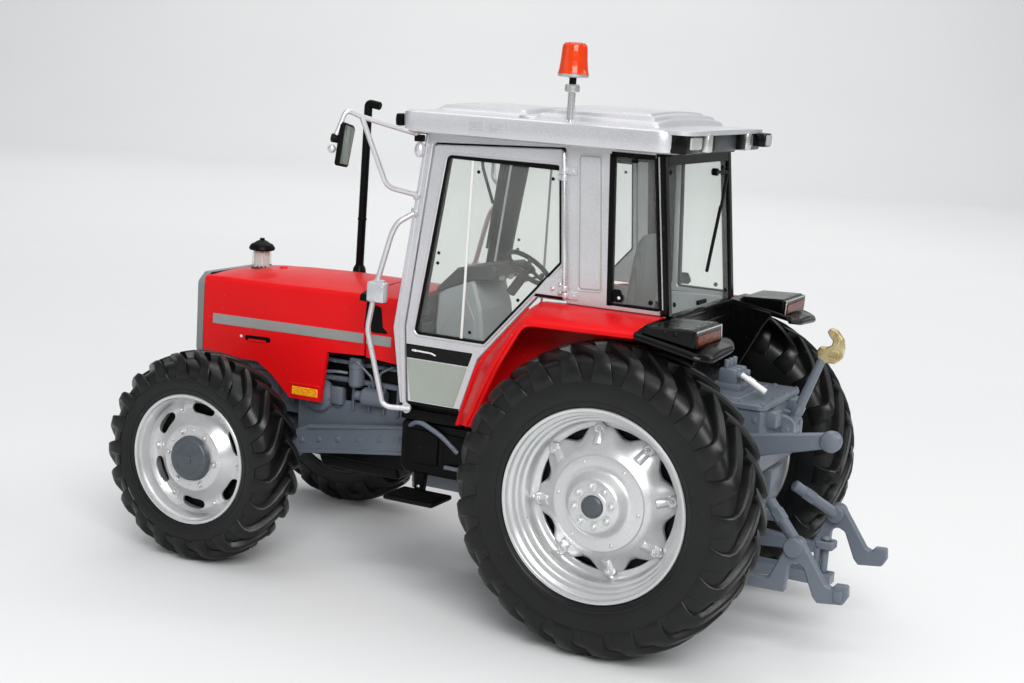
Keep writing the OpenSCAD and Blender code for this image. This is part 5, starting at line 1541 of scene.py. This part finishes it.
# ---------------------------------------------------------------- fenders
def fenders():
    p = Piece("fender_skins", "chassis", ("fenders",), "red_paint", angle=30).use("red_enamel")
    inner = bent([(-3.4, 16.2, 54.85), (19.4, 16.2, 54.85), (29.9, 16.2, 42.6), (33.3, 16.2, 31.0)], 2.2, 7)
    outer = bent([(-3.4, 27.0, 53.7), (17.4, 27.0, 53.3), (21.8, 27.0, 45.5), (27.2, 26.0, 33.6)], 2.2, 7)
    A = [Vector(v) for v in inner]
    B = [Vector(v) for v in outer]
    top, bot = [], []
    rowsA, rowsB = [], []
    for line, rows in ((A, rowsA), (B, rowsB)):
        for i in range(len(line) - 1):
            n = 6 if (line[i + 1] - line[i]).length > 4 else 1
            for k in range(6 if (A[i + 1] - A[i]).length > 4 else 1):
                m = 6 if (A[i + 1] - A[i]).length > 4 else 1
                rows.append(line[i] + (line[i + 1] - line[i]) * (k / m))
        rows.append(line[-1])
    R = len(rowsA)
    for i in range(R):
        a, b = rowsA[i], rowsB[i]
        ta = (rowsA[min(R - 1, i + 1)] - rowsA[max(0, i - 1)]).normalized()
        across = (b - a).normalized()
        nrm = across.cross(ta)
        if nrm.z + nrm.x < 0:
            nrm = -nrm
        nrm.normalize()
        rt, rb = [], []
        for t in (0.0, 0.08, 0.2, 0.35, 0.5, 0.65, 0.78, 0.88, 0.94, 0.98, 1.0):
            bulge = 0.35 * sin(pi * t) - (0.5 * max(0.0, (t - 0.84) / 0.16) ** 2)
            c = a + (b - a) * t + nrm * bulge
            rt.append(c)
            rb.append(c - nrm * 0.75)
        # turned-down rim
        e = rt[-1]
        for d in (0.3, 0.6):
            rt.append(e - nrm * d + across * 0.12)
            rb.append(e - nrm * d - across * 0.6)
        top.append(rt)
        bot.append(rb)
    p.add(shell(top, bot))
    # two ribs that run down the front edge
    k0 = int(R * 0.42)
    rib1 = [top[i][0] + Vector((0, 0.5, 0)) for i in range(k0, R)]
    rib2 = [top[i][9] for i in range(k0, R)]
    p.add(tube(rib1, 0.45, 0, 12))
    p.add(tube(rib2, 0.42, 0, 12))
    rib3 = [top[i][5] * 0.55 + top[i][0] * 0.45 for i in range(k0 + 3, R)]
    p.add(tube(rib3, 0.3, 0, 10))
    # inner wall of the wheel arch
    wall = [(-3.2, 54.6), (19.3, 54.6), (29.7, 42.5), (33.1, 31.2), (30.0, 30.6), (22, 38), (-4, 42)]
    p.add(plate(rounded(wall, 0.4), 15.1, 16.15, bevel=0.2), XZ)
    p.add(plate(rounded([(8, 50.8), (15, 50.8), (15, 51.6), (8, 51.6)], 0.3), 16.0, 17.4, bevel=0.25), XZ)
    p.mirror()
    p.done()
    q = Piece("fender_extensions", "chassis", ("fender_rears",), "black_plastic", angle=30).use("gloss_black")
    def ext(u, v, w):
        # u along x, v across y, w above the sloping sheet
        z = 54.35 + (u + 3.9) * 0.16 - max(0.0, (v - 24.0)) * 0.16
        if u < -12:
            z -= 0.03 * (u + 12) ** 2
        return (u, v, z + w)
    loop = rounded([(-3.4, 15.4), (-15.2, 15.4), (-16.4, 18.5), (-16.3, 28.0), (-14.6, 29.9), (-3.4, 29.2)], [0.1, 1.2, 1.5, 1.6, 1.6, 0.1], 6)
    steps = []
    for a, b in zip(loop, loop[1:] + loop[:1]):
        steps.append(a)
        L = hypot(b[0] - a[0], b[1] - a[1])
        for k in range(1, int(L / 1.2)):
            f = k / int(L / 1.2)
            steps.append((a[0] + (b[0] - a[0]) * f, a[1] + (b[1] - a[1]) * f))
    V, F = plate(steps, -0.45, 0.4, bevel=0.22)
    q.add((V, F), ext)
    # turned-down rim
    q.add(tube([ext(x, y, -0.3) for x, y in ((-3.6, 29.0), (-14.4, 29.6), (-16.0, 27.8), (-16.1, 18.6), (-15.0, 15.8))], 0.5, 1.0, 10))
    # lamp box
    box = rounded([(-13.4, 52.4), (-4.6, 53.8), (-4.6, 54.3), (-5.6, 55.2), (-12.9, 55.5), (-13.4, 55.2)], 0.25)
    q.add(plate(box, 16.9, 28.7, bevel=0.3), XZ)
    q.add(plate(rounded([(16.7, 52.4), (28.4, 52.5), (28.8, 55.3), (17.2, 55.3)], 0.2), -13.7, -13.2, bevel=0.08), YZ)
    q.use("bright_metal")
    q.add(plate(rounded([(16.75, 52.45), (17.0, 52.45), (17.45, 55.25), (17.2, 55.25)], 0.05), -13.78, -13.4, bevel=0.05), YZ)
    q.add(plate(rounded([(17.2, 55.05), (28.6, 55.05), (28.6, 55.28), (17.2, 55.28)], 0.05), -13.76, -13.4, bevel=0.05), YZ)
    q.use("amber_lens").add(plate(rounded([(17.6, 52.85), (28.0, 53.0), (28.2, 54.6), (17.9, 54.5)], 0.15), -13.86, -13.4, bevel=0.08), YZ)
    q.use("gloss_black")
    q.add(dome((-10.2, 28.65, 54.5), (0, 1, 0), 0.42, 0.26, 14))
    q.add(dome((-8.4, 28.65, 54.6), (0, 1, 0), 0.3, 0.2, 14))
    # inner side sheet behind the cab
    q.add(plate(rounded([(-6.2, 42.2), (-3.6, 42.2), (-3.6, 54.4), (-12.2, 53.1), (-10.4, 50.6)], 0.6), 15.1, 16.1, bevel=0.2), XZ)
    q.mirror()
    q.done()


fenders()


# ---------------------------------------------------------------- cab inside
def interior():
    p = Piece("console_body", "chassis", ("dash",), "cab_grey").use("console_grey")
    con = [(34, 33), (43.8, 33), (44.7, 46), (44.4, 52), (39.3, 56.6), (37.6, 56.4), (35.4, 50.0), (34.6, 44)]
    p.add(plate(rounded(con, [0.2, 0.2, 0.6, 1.0, 0.8, 0.5, 0.8, 0.5]), -6.4, 6.4, bevel=0.5), XZ)
    p.add(plate(rounded([(35.6, 34), (42.6, 34), (43.2, 46), (38.4, 52), (36.4, 48), (35.8, 42)], 0.6), -6.62, 6.62, bevel=0.12), XZ)
    p.use("console_dark")
    hood = [(37.2, 55.2), (44.6, 52.2), (44.6, 53.0), (40.4, 57.2), (33.6, 58.4), (32.6, 57.8), (33.0, 55.6)]
    p.add(plate(rounded(hood, 0.4), -6.8, 6.8, bevel=0.35), XZ)
    p.use("lamp_lens")
    for y in (-3.6, 0.0, 3.6):
        p.add(revolve([(1.35, -0.2), (1.35, 0.1), (1.2, 0.16), (0, 0.16)], (33.15, y, 56.7), (-1, 0, 0.25), 24))
    p.use("black_plastic")
    p.add(tube([(34.2, -6.4, 54), (30.4, -7.4, 55.6)], 0.25, 0, 8))
    p.add(dome((30.3, -7.4, 55.6), (-1, 0, 0.3), 0.5, 0.5, 12))
    p.box((39.6, -2.2, 33.2), (41.2, -0.6, 36.4), 0.3)
    p.box((39.6, 2.2, 33.2), (41.2, 3.8, 36.4), 0.3)
    p.done()
    w = Piece("steering_wheel_rim", "chassis", ("steering_wheel",), "black_plastic").use("black_plastic")
    m = Matrix.Translation((29.4, 0, 57.8)) @ Matrix.Rotation(radians(-35), 4, "Y")
    ring = [(4.4 + 0.45 * cos(radians(a)), 0.45 * sin(radians(a))) for a in range(0, 360, 30)]
    w.add(moved(lathe(ring, 64, True), m))
    w.add(moved(lathe([(0, -0.6), (0.9, -0.6), (1.3, -0.1), (1.25, 0.3), (0.9, 0.5), (0, 0.55)], 32), m))
    for a in (60, 180, 300):
        r = Matrix.Rotation(radians(a), 4, "Z")
        V, F = plate(rounded([(0.6, -0.5), (4.3, -0.32), (4.3, 0.32), (0.6, 0.5)], 0.1), -0.26, 0.2, bevel=0.1)
        w.add(moved((V, F), m @ r))
    w.add(moved(lathe([(0, -6), (0.9, -6), (0.9, -2.0), (0.65, -1.4), (0.65, -0.3), (0, -0.3)], 24), m))
    w.done()
    s = Piece("seat_shell", "chassis", (), "black_plastic").use("console_dark")
    s.add(plate(rounded([(8.7, 33), (15.7, 33), (15.1, 36), (15.9, 41.6), (8.3, 41.6), (9.3, 36)], 0.4), -3.6, 3.6, bevel=0.4), XZ)
    for k in range(4):
        s.box((8.9, -3.9, 35 + 1.3 * k), (15.3, 3.9, 35.7 + 1.3 * k), 0.25)
    s.done()
    c = Piece("seat_pad", "chassis", ("seat",), "seat_grey", angle=60).use("seat_cloth")

    def cushion(rows):
        # rows of (centre x, centre z, half width, half thickness, tilt) from front to back
        rings = []
        for x, z, hw, ht, tilt in rows:
            ring = []
            for k in range(28):
                a = 2 * pi * k / 28
                u = hw * (abs(cos(a)) ** 0.55) * (1 if cos(a) >= 0 else -1)
                v = ht * (abs(sin(a)) ** 0.7) * (1 if sin(a) >= 0 else -1)
                groove = 0.16 if abs(abs(u) - hw * 0.62) < 0.35 and v > 0 else 0.0
                v -= groove
                ring.append((x + 3.3 + v * sin(tilt), u, z + v * cos(tilt)))
            rings.append(ring)
        c.add(loft(rings))
    cushion([(15.0, 43.4, 3.6, 0.3, 0.3), (14.9, 43.5, 4.8, 0.9, 0.2), (13.6, 43.7, 5.2, 1.35, 0.05), (11.0, 43.6, 5.25, 1.4, 0),
             (8.0, 43.4, 5.2, 1.35, 0), (5.4, 43.2, 4.8, 1.2, 0), (4.4, 43.1, 4.2, 0.5, 0)])
    cushion([(4.9, 45.0, 3.4, 0.3, 1.35), (4.75, 45.8, 4.6, 1.0, 1.4), (4.5, 48.5, 5.0, 1.35, 1.42), (4.2, 53.0, 5.15, 1.4, 1.44), (3.8, 58.0, 5.05, 1.35, 1.44),
             (3.4, 62.4, 4.7, 1.25, 1.44), (3.15, 65.2, 4.2, 0.95, 1.44), (3.05, 66.3, 3.2, 0.35, 1.44)])
    ob = c.done()
    t = Piece("side_consoles", "chassis", (), "cab_grey").use("console_grey")
    st = t.mark()
    t.add(plate(rounded([(-2.6, 33), (20, 33), (19.6, 45), (14, 47.2), (-2.6, 48.6)], 0.8), 8.2, 14.6, bevel=0.5), XZ)
    t.mirror(st)
    st = t.mark()
    t.add(plate(rounded([(-2.6, 33), (29.5, 33), (29.0, 41.8), (19.0, 54.6), (-2.6, 55.2)], 0.6), 14.3, 14.95, bevel=0.2), XZ)
    t.mirror(st)
    t.use("console_dark").box((0, -13.6, 47.6), (13, -9.2, 49.0), 0.3)
    t.use("black_plastic")
    for x, y, tx in ((12.4, -10.2, 1.2), (10.2, -11.4, 0.8), (7.6, -10.2, 1.0), (14.6, -12.2, 1.4)):
        t.add(tube([(x, y, 46.6), (x + tx, y, 52.2)], 0.25, 0, 8))
        t.add(revolve([(0, -0.8), (0.5, -0.6), (0.62, 0), (0.5, 0.6), (0, 0.8)], (x + tx, y, 52.6), (0.2, 0, 1), 14))
    t.done()


interior()


# ---------------------------------------------------------------- outside fittings
def stacks():
    p = Piece("exhaust_pipe", "chassis", ("exhaust",), "black_plastic").use("black_plastic")
    p.add(revolve([(0, 0), (1.4, 0), (1.5, 0.2), (1.35, 0.5), (1.2, 1.4), (1.0, 1.8), (0.8, 2.1), (0, 2.2)], (71.3, -10, 50.7), (0, 0, 1), 32))
    p.add(tube([(71.3, -10, 52), (71.0, -10, 84.4), (68.3, -10, 84.0)], 0.8, 0.8, 18, 7))
    p.add(cyl((71.2, -10, 61.6), (71.2, -10, 62.1), 0.9))
    p.done()
    q = Piece("precleaner_cap", "chassis", ("precleaner",), "black_plastic").use("black_plastic")
    c = (86.6, 1.5)
    q.add(revolve([(0, 0), (1.2, 0), (1.2, 1.6), (0, 1.6)], (c[0], c[1], 50.2), (0, 0, 1), 24))
    q.add(revolve([(0, 2.1), (0.5, 2.05), (1.1, 1.75), (1.5, 1.45), (2.1, 1.2), (2.45, 0.7), (2.52, 0.3), (2.4, 0.1), (2.0, 0), (0, 0)],
                  (c[0], c[1], 54.85), (0, 0, 1), 40))
    q.add(revolve([(0, 0), (0.42, 0), (0.52, 0.16), (0.42, 0.34), (0, 0.38)], (c[0], c[1], 56.9), (0, 0, 1), 16))
    q.add(revolve([(0, 0), (1.95, 0), (2.05, 0.12), (1.95, 0.3), (0, 0.34)], (c[0], c[1], 51.2), (0, 0, 1), 36))
    q.use("white_trim")
    q.add(revolve([(0.75, 0), (1.1, 0.4), (0.95, 1.6), (1.15, 3.0), (0, 3.0), (0, 0)], (c[0], c[1], 51.5), (0, 0, 1), 28))
    for k in range(10):
        a = 2 * pi * k / 10
        q.add(plate([(0.9, 51.6), (1.5, 51.6), (1.5, 54.8), (0.9, 54.8)], -0.08, 0.08, bevel=0.03),
              lambda u, v, w, a=a: (c[0] + u * cos(a) - w * sin(a), c[1] + u * sin(a) + w * cos(a), v))
    q.use("clear_sheet")
    q.add(revolve([(1.9, 0), (1.98, 0.2), (1.92, 3.4), (1.76, 3.4), (1.82, 0.2), (1.74, 0)], (c[0], c[1], 51.5), (0, 0, 1), 40, True))
    q.done()


def steps():
    p = Piece("step_boxes", "chassis", ("steps",), "black_plastic").use("black_plastic")
    p.add(plate(rounded([(29.2, 21.4), (31, 20.5), (44.4, 20.5), (45.4, 21.6), (45.4, 29.4), (44.6, 30.3), (29.2, 30.3)], 0.5), 9.3, 15.2, bevel=0.4), XZ)
    p.box((30.4, 14.9, 22.4), (36.6, 15.6, 28.6), 0.3)
    p.box((37.6, 14.9, 22.4), (44.2, 15.6, 28.6), 0.3)
    p.bolts([(30.9, 15.55, 22.9), (36.1, 15.55, 22.9), (30.9, 15.55, 28.1), (36.1, 15.55, 28.1)], (0, 1, 0), 0.24, 0.2, False)
    p.use("casting_enamel")
    p.add(tube([(45.0, 14.2, 28.2), (41.6, 15.9, 30.4), (36.8, 16.0, 28.4), (33.4, 15.6, 25.6)], 0.45, 1.6, 12))
    p.add(tube([(30.2, 15.4, 23.6), (32.0, 16.0, 22.8), (35.8, 16.0, 22.8)], 0.4, 0.8, 12))
    p.use("black_plastic")
    tread = rounded([(35, 13.6), (45.2, 13.6), (45.2, 21.2), (35, 21.2)], 0.6)
    p.add(plate(tread, 16.5, 17.3, bevel=0.2), XY)
    for k in range(6):
        p.box((35.8, 15.6 + 0.9 * k, 17.2), (44.4, 15.95 + 0.9 * k, 17.55), 0.12)
    p.add(plate(rounded([(40.5, 17.2), (42.3, 17.2), (42.6, 20.8), (40.2, 20.8)], 0.2), 13.6, 15.0, bevel=0.2), XZ)
    p.use("bright_metal").add(dome((41.4, 15.0, 18.1), (0, 1, 0), 0.36, 0.24, 14))
    p.mirror()
    p.done()


stacks()
steps()


# ---------------------------------------------------------------- rear linkage
LINK = [(-11, 14.9), (-20.6, 14.0), (-23.9, 13.9), (-26.3, 19.4), (-27.2, 21.4), (-29, 21.3), (-33.6, 14.6), (-34.6, 14.2), (-35.2, 15), (-37.2, 15.1),
        (-37.4, 13.2), (-36.6, 11.8), (-32.4, 11.3), (-31.6, 12.2), (-29.6, 16.8), (-28.2, 17.4), (-27.2, 16.6), (-26.9, 12), (-20.6, 11.9), (-11, 11.1)]


def linkage():
    for side, s in (("left", 1), ("right", -1)):
        p = Piece("lower_link_plate_" + side, "lower_link_" + side, ("lower_link_" + side,), "casting_paint").use("casting_enamel")
        end = [(-11 + 1.9 * cos(radians(a)), 13 + 1.9 * sin(radians(a))) for a in range(80, -81, -16)]
        loop = end + [(-20.6, 11.9)][:0] + [(-20.6, 11.9), (-26.9, 12), (-27.2, 16.6), (-28.2, 17.4), (-29.6, 16.8), (-31.6, 12.2), (-32.4, 11.3), (-36.6, 11.8),
                                            (-37.4, 13.2), (-37.2, 15.1), (-35.2, 15), (-34.6, 14.2), (-33.6, 14.6), (-29, 21.3), (-27.2, 21.4), (-26.3, 19.4),
                                            (-23.9, 13.9), (-20.6, 14.0)]
        rad = [0] * len(end) + [0.4, 0.4, 0.9, 0.9, 0.9, 0.5, 0.5, 0.6, 0.5, 0.4, 0.3, 0.3, 0.4, 0.8, 0.8, 0.6, 0.8, 0.4]
        hole = [(-11 + 1.04 * cos(radians(a)), 13 + 1.04 * sin(radians(a))) for a in range(0, 360, 15)]
        p.add(plate(rounded(loop, rad), 11.8, 13.4, [hole], 0.28), XZ)
        p.add(revolve([(0, 0), (1.55, 0), (1.65, 0.2), (1.65, 0.55), (1.45, 0.8), (0, 0.85)], (-27.8, 13.3, 19.8), (0, 1, 0), 32))
        p.add(cyl((-27.8, 10.6, 19.8), (-27.8, 13.4, 19.8), 1.45))
        p.add(tube([(-27.8, 11.3, 19.9), (-21.2, 6.7, 25)], 1.0, 0, 18))
        p.add(cyl((-24.4, 8.93, 22.55), (-22.8, 7.8, 23.8), 1.2, n=6))
        p.box((-36.6, 12.9, 12.2), (-35.0, 13.7, 14.2), 0.25)
        p.add(dome((-35.9, 13.35, 13.4), (0, 1, 0), 0.5, 0.25, 14))
        if s < 0:
            p.flipped()
        p.done()
    p = Piece("lift_arm_bar", "lift_arm", ("lift_arm",), "casting_paint").use("casting_enamel")
    end = [(-14 + 2.2 * cos(radians(a)), 34.1 + 2.2 * sin(radians(a))) for a in range(78, -97, -14)]
    loop = end + [(-31, 36.6), (-32.2, 37.2), (-32.2, 38.6), (-30.7, 39.1)]
    hole = [(-14 + 1.24 * cos(radians(a)), 34.1 + 1.24 * sin(radians(a))) for a in range(0, 360, 15)]
    p.add(plate(loop, 11.1, 12.7, [hole], 0.25), XZ)
    p.add(revolve([(0, 0), (1.55, 0), (1.75, 0.2), (1.75, 1.0), (1.5, 1.45), (0.9, 1.7), (0, 1.75)], (-32, 12.0, 38), (0, 1, 0), 36))
    p.add(cyl((-32, 10.9, 38), (-32, 12.4, 38), 1.5))
    p.done()
    p = Piece("top_link_rod", "top_link", (), "casting_paint").use("casting_enamel")
    p.add(revolve([(0.78, -1.1), (1.4, -1.1), (1.5, -0.9), (1.5, 0.9), (1.4, 1.1), (0.78, 1.1)], (-21.4, 0, 36.4), (0, 1, 0), 28, True))
    p.add(tube([(-21.8, 0, 37.5), (-25.9, 0, 49.0)], lambda t: 0.92 - 0.2 * t, 0, 18))
    p.add(cyl((-22.3, 0, 38.9), (-22.9, 0, 40.5), 1.1, n=6))
    p.done()
    h = Piece("top_link_hook", "top_link", ("top_link",), "casting_paint").use("pale_brass")
    hook = [(-25.1, 49.0), (-26.4, 48.3), (-28.2, 48.4), (-29.2, 49.4), (-29.5, 51.0), (-29.2, 52.6), (-28.0, 54.0), (-26.9, 54.3), (-26.4, 53.6),
            (-26.9, 52.8), (-27.5, 52.2), (-27.3, 51.4), (-26.4, 51.0), (-25.4, 51.0), (-24.9, 50.2)]
    h.add(plate(rounded(hook, 0.35), -0.6, 0.6, bevel=0.22), XZ)
    h.add(plate(rounded([(-26.8, 49.6), (-28.6, 49.3), (-28.9, 50.6), (-27.4, 50.6)], 0.3), -0.72, 0.72, bevel=0.12), XZ)
    h.add(tube([(-27.6, 0.62, 51.0), (-28.4, 0.68, 51.6), (-28.6, 0.62, 52.6)], 0.16, 0.4, 8))
    h.done()


linkage()


# ---------------------------------------------------------------- floor, light, camera
def stage():
    bm = bmesh.new()
    bmesh.ops.create_grid(bm, x_segments=2, y_segments=2, size=3.0)
    me = bpy.data.meshes.new("floor")
    bm.to_mesh(me)
    bm.free()
    n = Nodes("floor_paper")
    n.base(n.ramp(n.noise(6, 3), (0.3, (0.74, 0.75, 0.75)), (0.7, (0.77, 0.775, 0.77))))
    n.rough(n.span(n.noise(40, 3), 0.75, 0.9))
    me.materials.append(n.mat)
    ob = bpy.data.objects.new("floor", me)
    scene.collection.objects.link(ob)
    bm = bmesh.new()
    prof = [(0.95, -0.002)] + [(1.0 + 0.4 * sin(radians(a)), 0.399 - 0.4 * cos(radians(a))) for a in range(0, 91, 3)] + [(1.4, 1.1)]
    rows = []
    for d, z in prof:
        rows.append([bm.verts.new((0.44 * d + 0.898 * t, -0.898 * d + 0.44 * t, z)) for t in (-2.6, -1.3, 0, 1.3, 2.6)])
    for a, b in zip(rows, rows[1:]):
        for k in range(4):
            bm.faces.new((a[k], a[k + 1], b[k + 1], b[k])).smooth = True
    me = bpy.data.meshes.new("sweep")
    bm.to_mesh(me)
    bm.free()
    me.materials.append(n.mat)
    sweep = bpy.data.objects.new("sweep", me)
    scene.collection.objects.link(sweep)
    w = bpy.data.worlds.new("studio")
    scene.world = w
    w.use_nodes = True
    w.node_tree.nodes["Background"].inputs["Color"].default_value = (0.93, 0.95, 1.0, 1)
    w.node_tree.nodes["Background"].inputs["Strength"].default_value = 0.3

    def area(name, loc, aim, size, power, colour=(1, 1, 1)):
        d = bpy.data.lights.new(name, "AREA")
        d.shape = "RECTANGLE"
        d.size, d.size_y = size
        d.energy = power
        d.color = colour
        o = bpy.data.objects.new(name, d)
        o.location = loc
        o.rotation_euler = (Vector(aim) - Vector(loc)).to_track_quat("-Z", "Y").to_euler()
        scene.collection.objects.link(o)
    area("key", (-0.27, 0.38, 0.36), (-0.015, 0, 0.045), (0.34, 0.3), 2.8)
    area("fill", (0.45, 0.5, 0.28), (0, 0, 0.04), (0.4, 0.4), 0.3)
    area("top", (0.0, 0.0, 0.8), (0, 0, 0.04), (0.7, 0.7), 2.0)
    area("back", (-0.5, -0.35, 0.4), (0, 0, 0.05), (0.4, 0.3), 1.0)
    area("backdrop", (0.3, -0.62, 0.85), (0.5, -1.1, 0.05), (0.9, 0.6), 6.0)


def camera():
    f, C, yaw, pitch, roll = 1646.77594, (-98.36146, 265.91629, 95.9735), 0.45546, -0.17382, 0.06466
    fwd = Vector((sin(yaw) * cos(pitch), -cos(yaw) * cos(pitch), sin(pitch)))
    right = fwd.cross(Vector((0, 0, 1))).normalized()
    up = right.cross(fwd)
    r2 = right * cos(roll) + up * sin(roll)
    u2 = up * cos(roll) - right * sin(roll)
    d = bpy.data.cameras.new("camera")
    d.sensor_fit = "HORIZONTAL"
    d.sensor_width = 36.0
    d.lens = f / 1024.0 * 36.0
    d.clip_start = 0.01
    d.clip_end = 20.0
    o = bpy.data.objects.new("camera", d)
    m = Matrix((r2, u2, -fwd)).transposed().to_4x4()
    m.translation = Vector(((C[0] - XC) * 0.001, C[1] * 0.001, C[2] * 0.001))
    o.matrix_world = m
    scene.collection.objects.link(o)
    scene.camera = o


stage()
camera()
